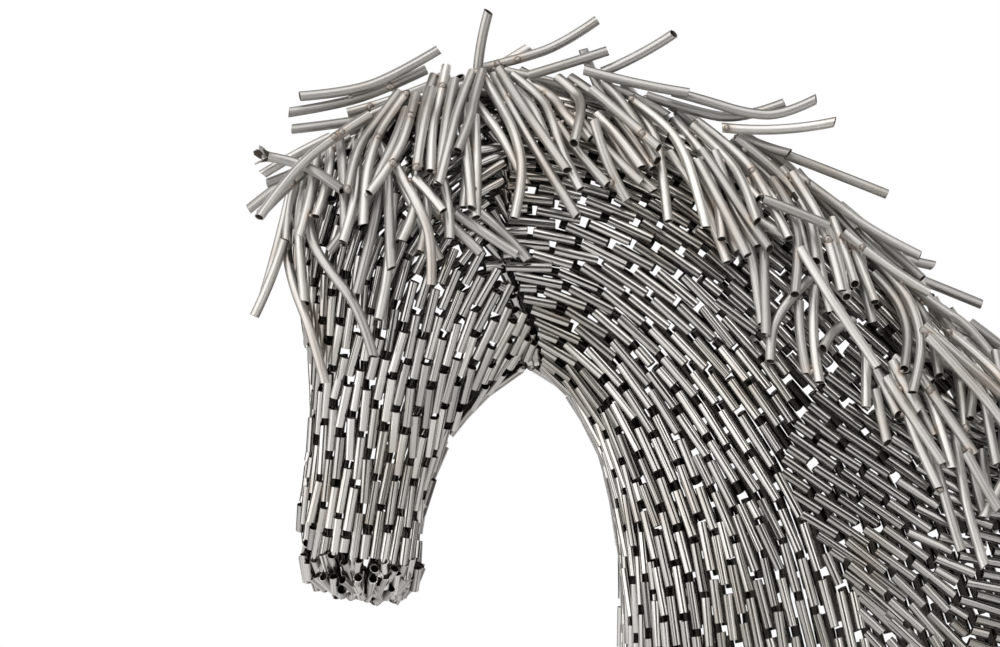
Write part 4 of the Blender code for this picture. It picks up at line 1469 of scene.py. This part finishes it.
def white_world():
    """White behind the sculpture, and a dim warm studio round it."""
    world = bpy.data.worlds.new("studio")
    bpy.context.scene.world = world
    world.use_nodes = True
    nodes, links = world.node_tree.nodes, world.node_tree.links
    nodes.clear()
    mix = nodes.new("ShaderNodeMixShader")
    links.new(nodes.new("ShaderNodeLightPath").outputs["Is Camera Ray"], mix.inputs[0])
    for socket, colour in ((1, AMBIENT), (2, WHITE)):
        background = nodes.new("ShaderNodeBackground")
        background.inputs["Color"].default_value = (*colour, 1)
        links.new(background.outputs[0], mix.inputs[socket])
    links.new(mix.outputs[0], nodes.new("ShaderNodeOutputWorld").inputs[0])


def soft_light(name, place, width, height, power):
    lamp = bpy.data.lights.new(name, "AREA")
    lamp.shape = "RECTANGLE"
    lamp.size = width
    lamp.size_y = height
    lamp.energy = power
    lamp.color = LIGHT_COLOUR
    made = placed(name, lamp)
    made.location = place
    made.rotation_euler = (Vector(LIT_PLACE) - place).to_track_quat("-Z", "Z").to_euler()
    made.visible_camera = False


def floor():
    bm = bmesh.new()
    bmesh.ops.create_grid(bm, x_segments=FLOOR_SQUARES, y_segments=FLOOR_SQUARES, size=FLOOR_SIZE)
    mesh = bpy.data.meshes.new("floor")
    bm.to_mesh(mesh)
    bm.free()
    nodes = Nodes("white_floor")
    nodes.shader.inputs["Roughness"].default_value = FLOOR_ROUGHNESS
    nodes.shader.inputs["Emission Color"].default_value = (*WHITE, 1)
    nodes.shader.inputs["Emission Strength"].default_value = FLOOR_GLOW
    grain = nodes.noise(nodes.add("ShaderNodeTexCoord").outputs["Object"], *FLOOR_GRAIN)
    nodes.join(nodes.mix(grain, *FLOOR_COLOURS), nodes.shader.inputs["Base Color"])
    mesh.materials.append(nodes.material)
    made = placed("floor", mesh)
    made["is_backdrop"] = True


def camera(shift):
    lens = bpy.data.cameras.new("camera")
    lens.sensor_width = SENSOR
    lens.lens = SENSOR * CAMERA_DISTANCE / PICTURE_WIDTH
    made = placed("camera", lens)
    made.location = (CAMERA_X + shift[0], shift[1] - CAMERA_DISTANCE, CAMERA_HEIGHT)
    made.rotation_euler = (math.pi / 2, 0, 0)
    bpy.context.scene.camera = made


def skin_shift():
    """How far the solids moved the skin to centre the whole sculpture."""
    bm = skin_surface()
    points = np.array([vert.co[:] for vert in bm.verts])
    bm.free()
    low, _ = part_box("pipe_skin")
    shift = np.array(low) - points.min(0)
    shift[2] = 0
    return shift


def light_up():
    """Large soft boxes round the sculpture, with dark gaps between them that draw the pipes' lines."""
    for name, azimuth, elevation, width, height, brightness in SOFT_BOXES:
        turn, rise = math.radians(azimuth), math.radians(elevation)
        outward = Vector((math.sin(turn) * math.cos(rise), -math.cos(turn) * math.cos(rise), math.sin(rise)))
        width, height = (2 * BOX_DISTANCE * math.tan(math.radians(angle) / 2) for angle in (width, height))
        place = Vector(LIT_PLACE) + outward * BOX_DISTANCE
        soft_light(name, place, width, height, brightness * math.pi * width * height)
    bpy.context.scene.view_settings.view_transform = "Standard"


def corners(bounds):
    return [[float(value) for value in corner] for corner in bounds]


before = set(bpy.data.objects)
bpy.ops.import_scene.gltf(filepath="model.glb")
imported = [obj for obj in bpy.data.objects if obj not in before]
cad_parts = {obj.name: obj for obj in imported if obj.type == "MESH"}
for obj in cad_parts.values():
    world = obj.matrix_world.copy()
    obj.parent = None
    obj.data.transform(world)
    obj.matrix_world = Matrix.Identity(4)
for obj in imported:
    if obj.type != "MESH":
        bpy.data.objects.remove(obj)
cad_box = corners(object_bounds())
shift = skin_shift()
camera(shift)
white_world()
light_up()
floor()
skin_steel = steel("polished_pipe_steel", *POLISHED)
mane_steel = steel("satin_pipe_steel", *SATIN)
for piece in build_skin(shift, skin_steel).values():
    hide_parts("pipe_skin")
    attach(piece, "root")
for kind, piece in build_mane(shift, mane_steel).items():
    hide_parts(*(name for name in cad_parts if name.startswith(kind + "_")))
    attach(piece, "root")
{"cad_box": cad_box, "visual_box": corners(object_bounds())}
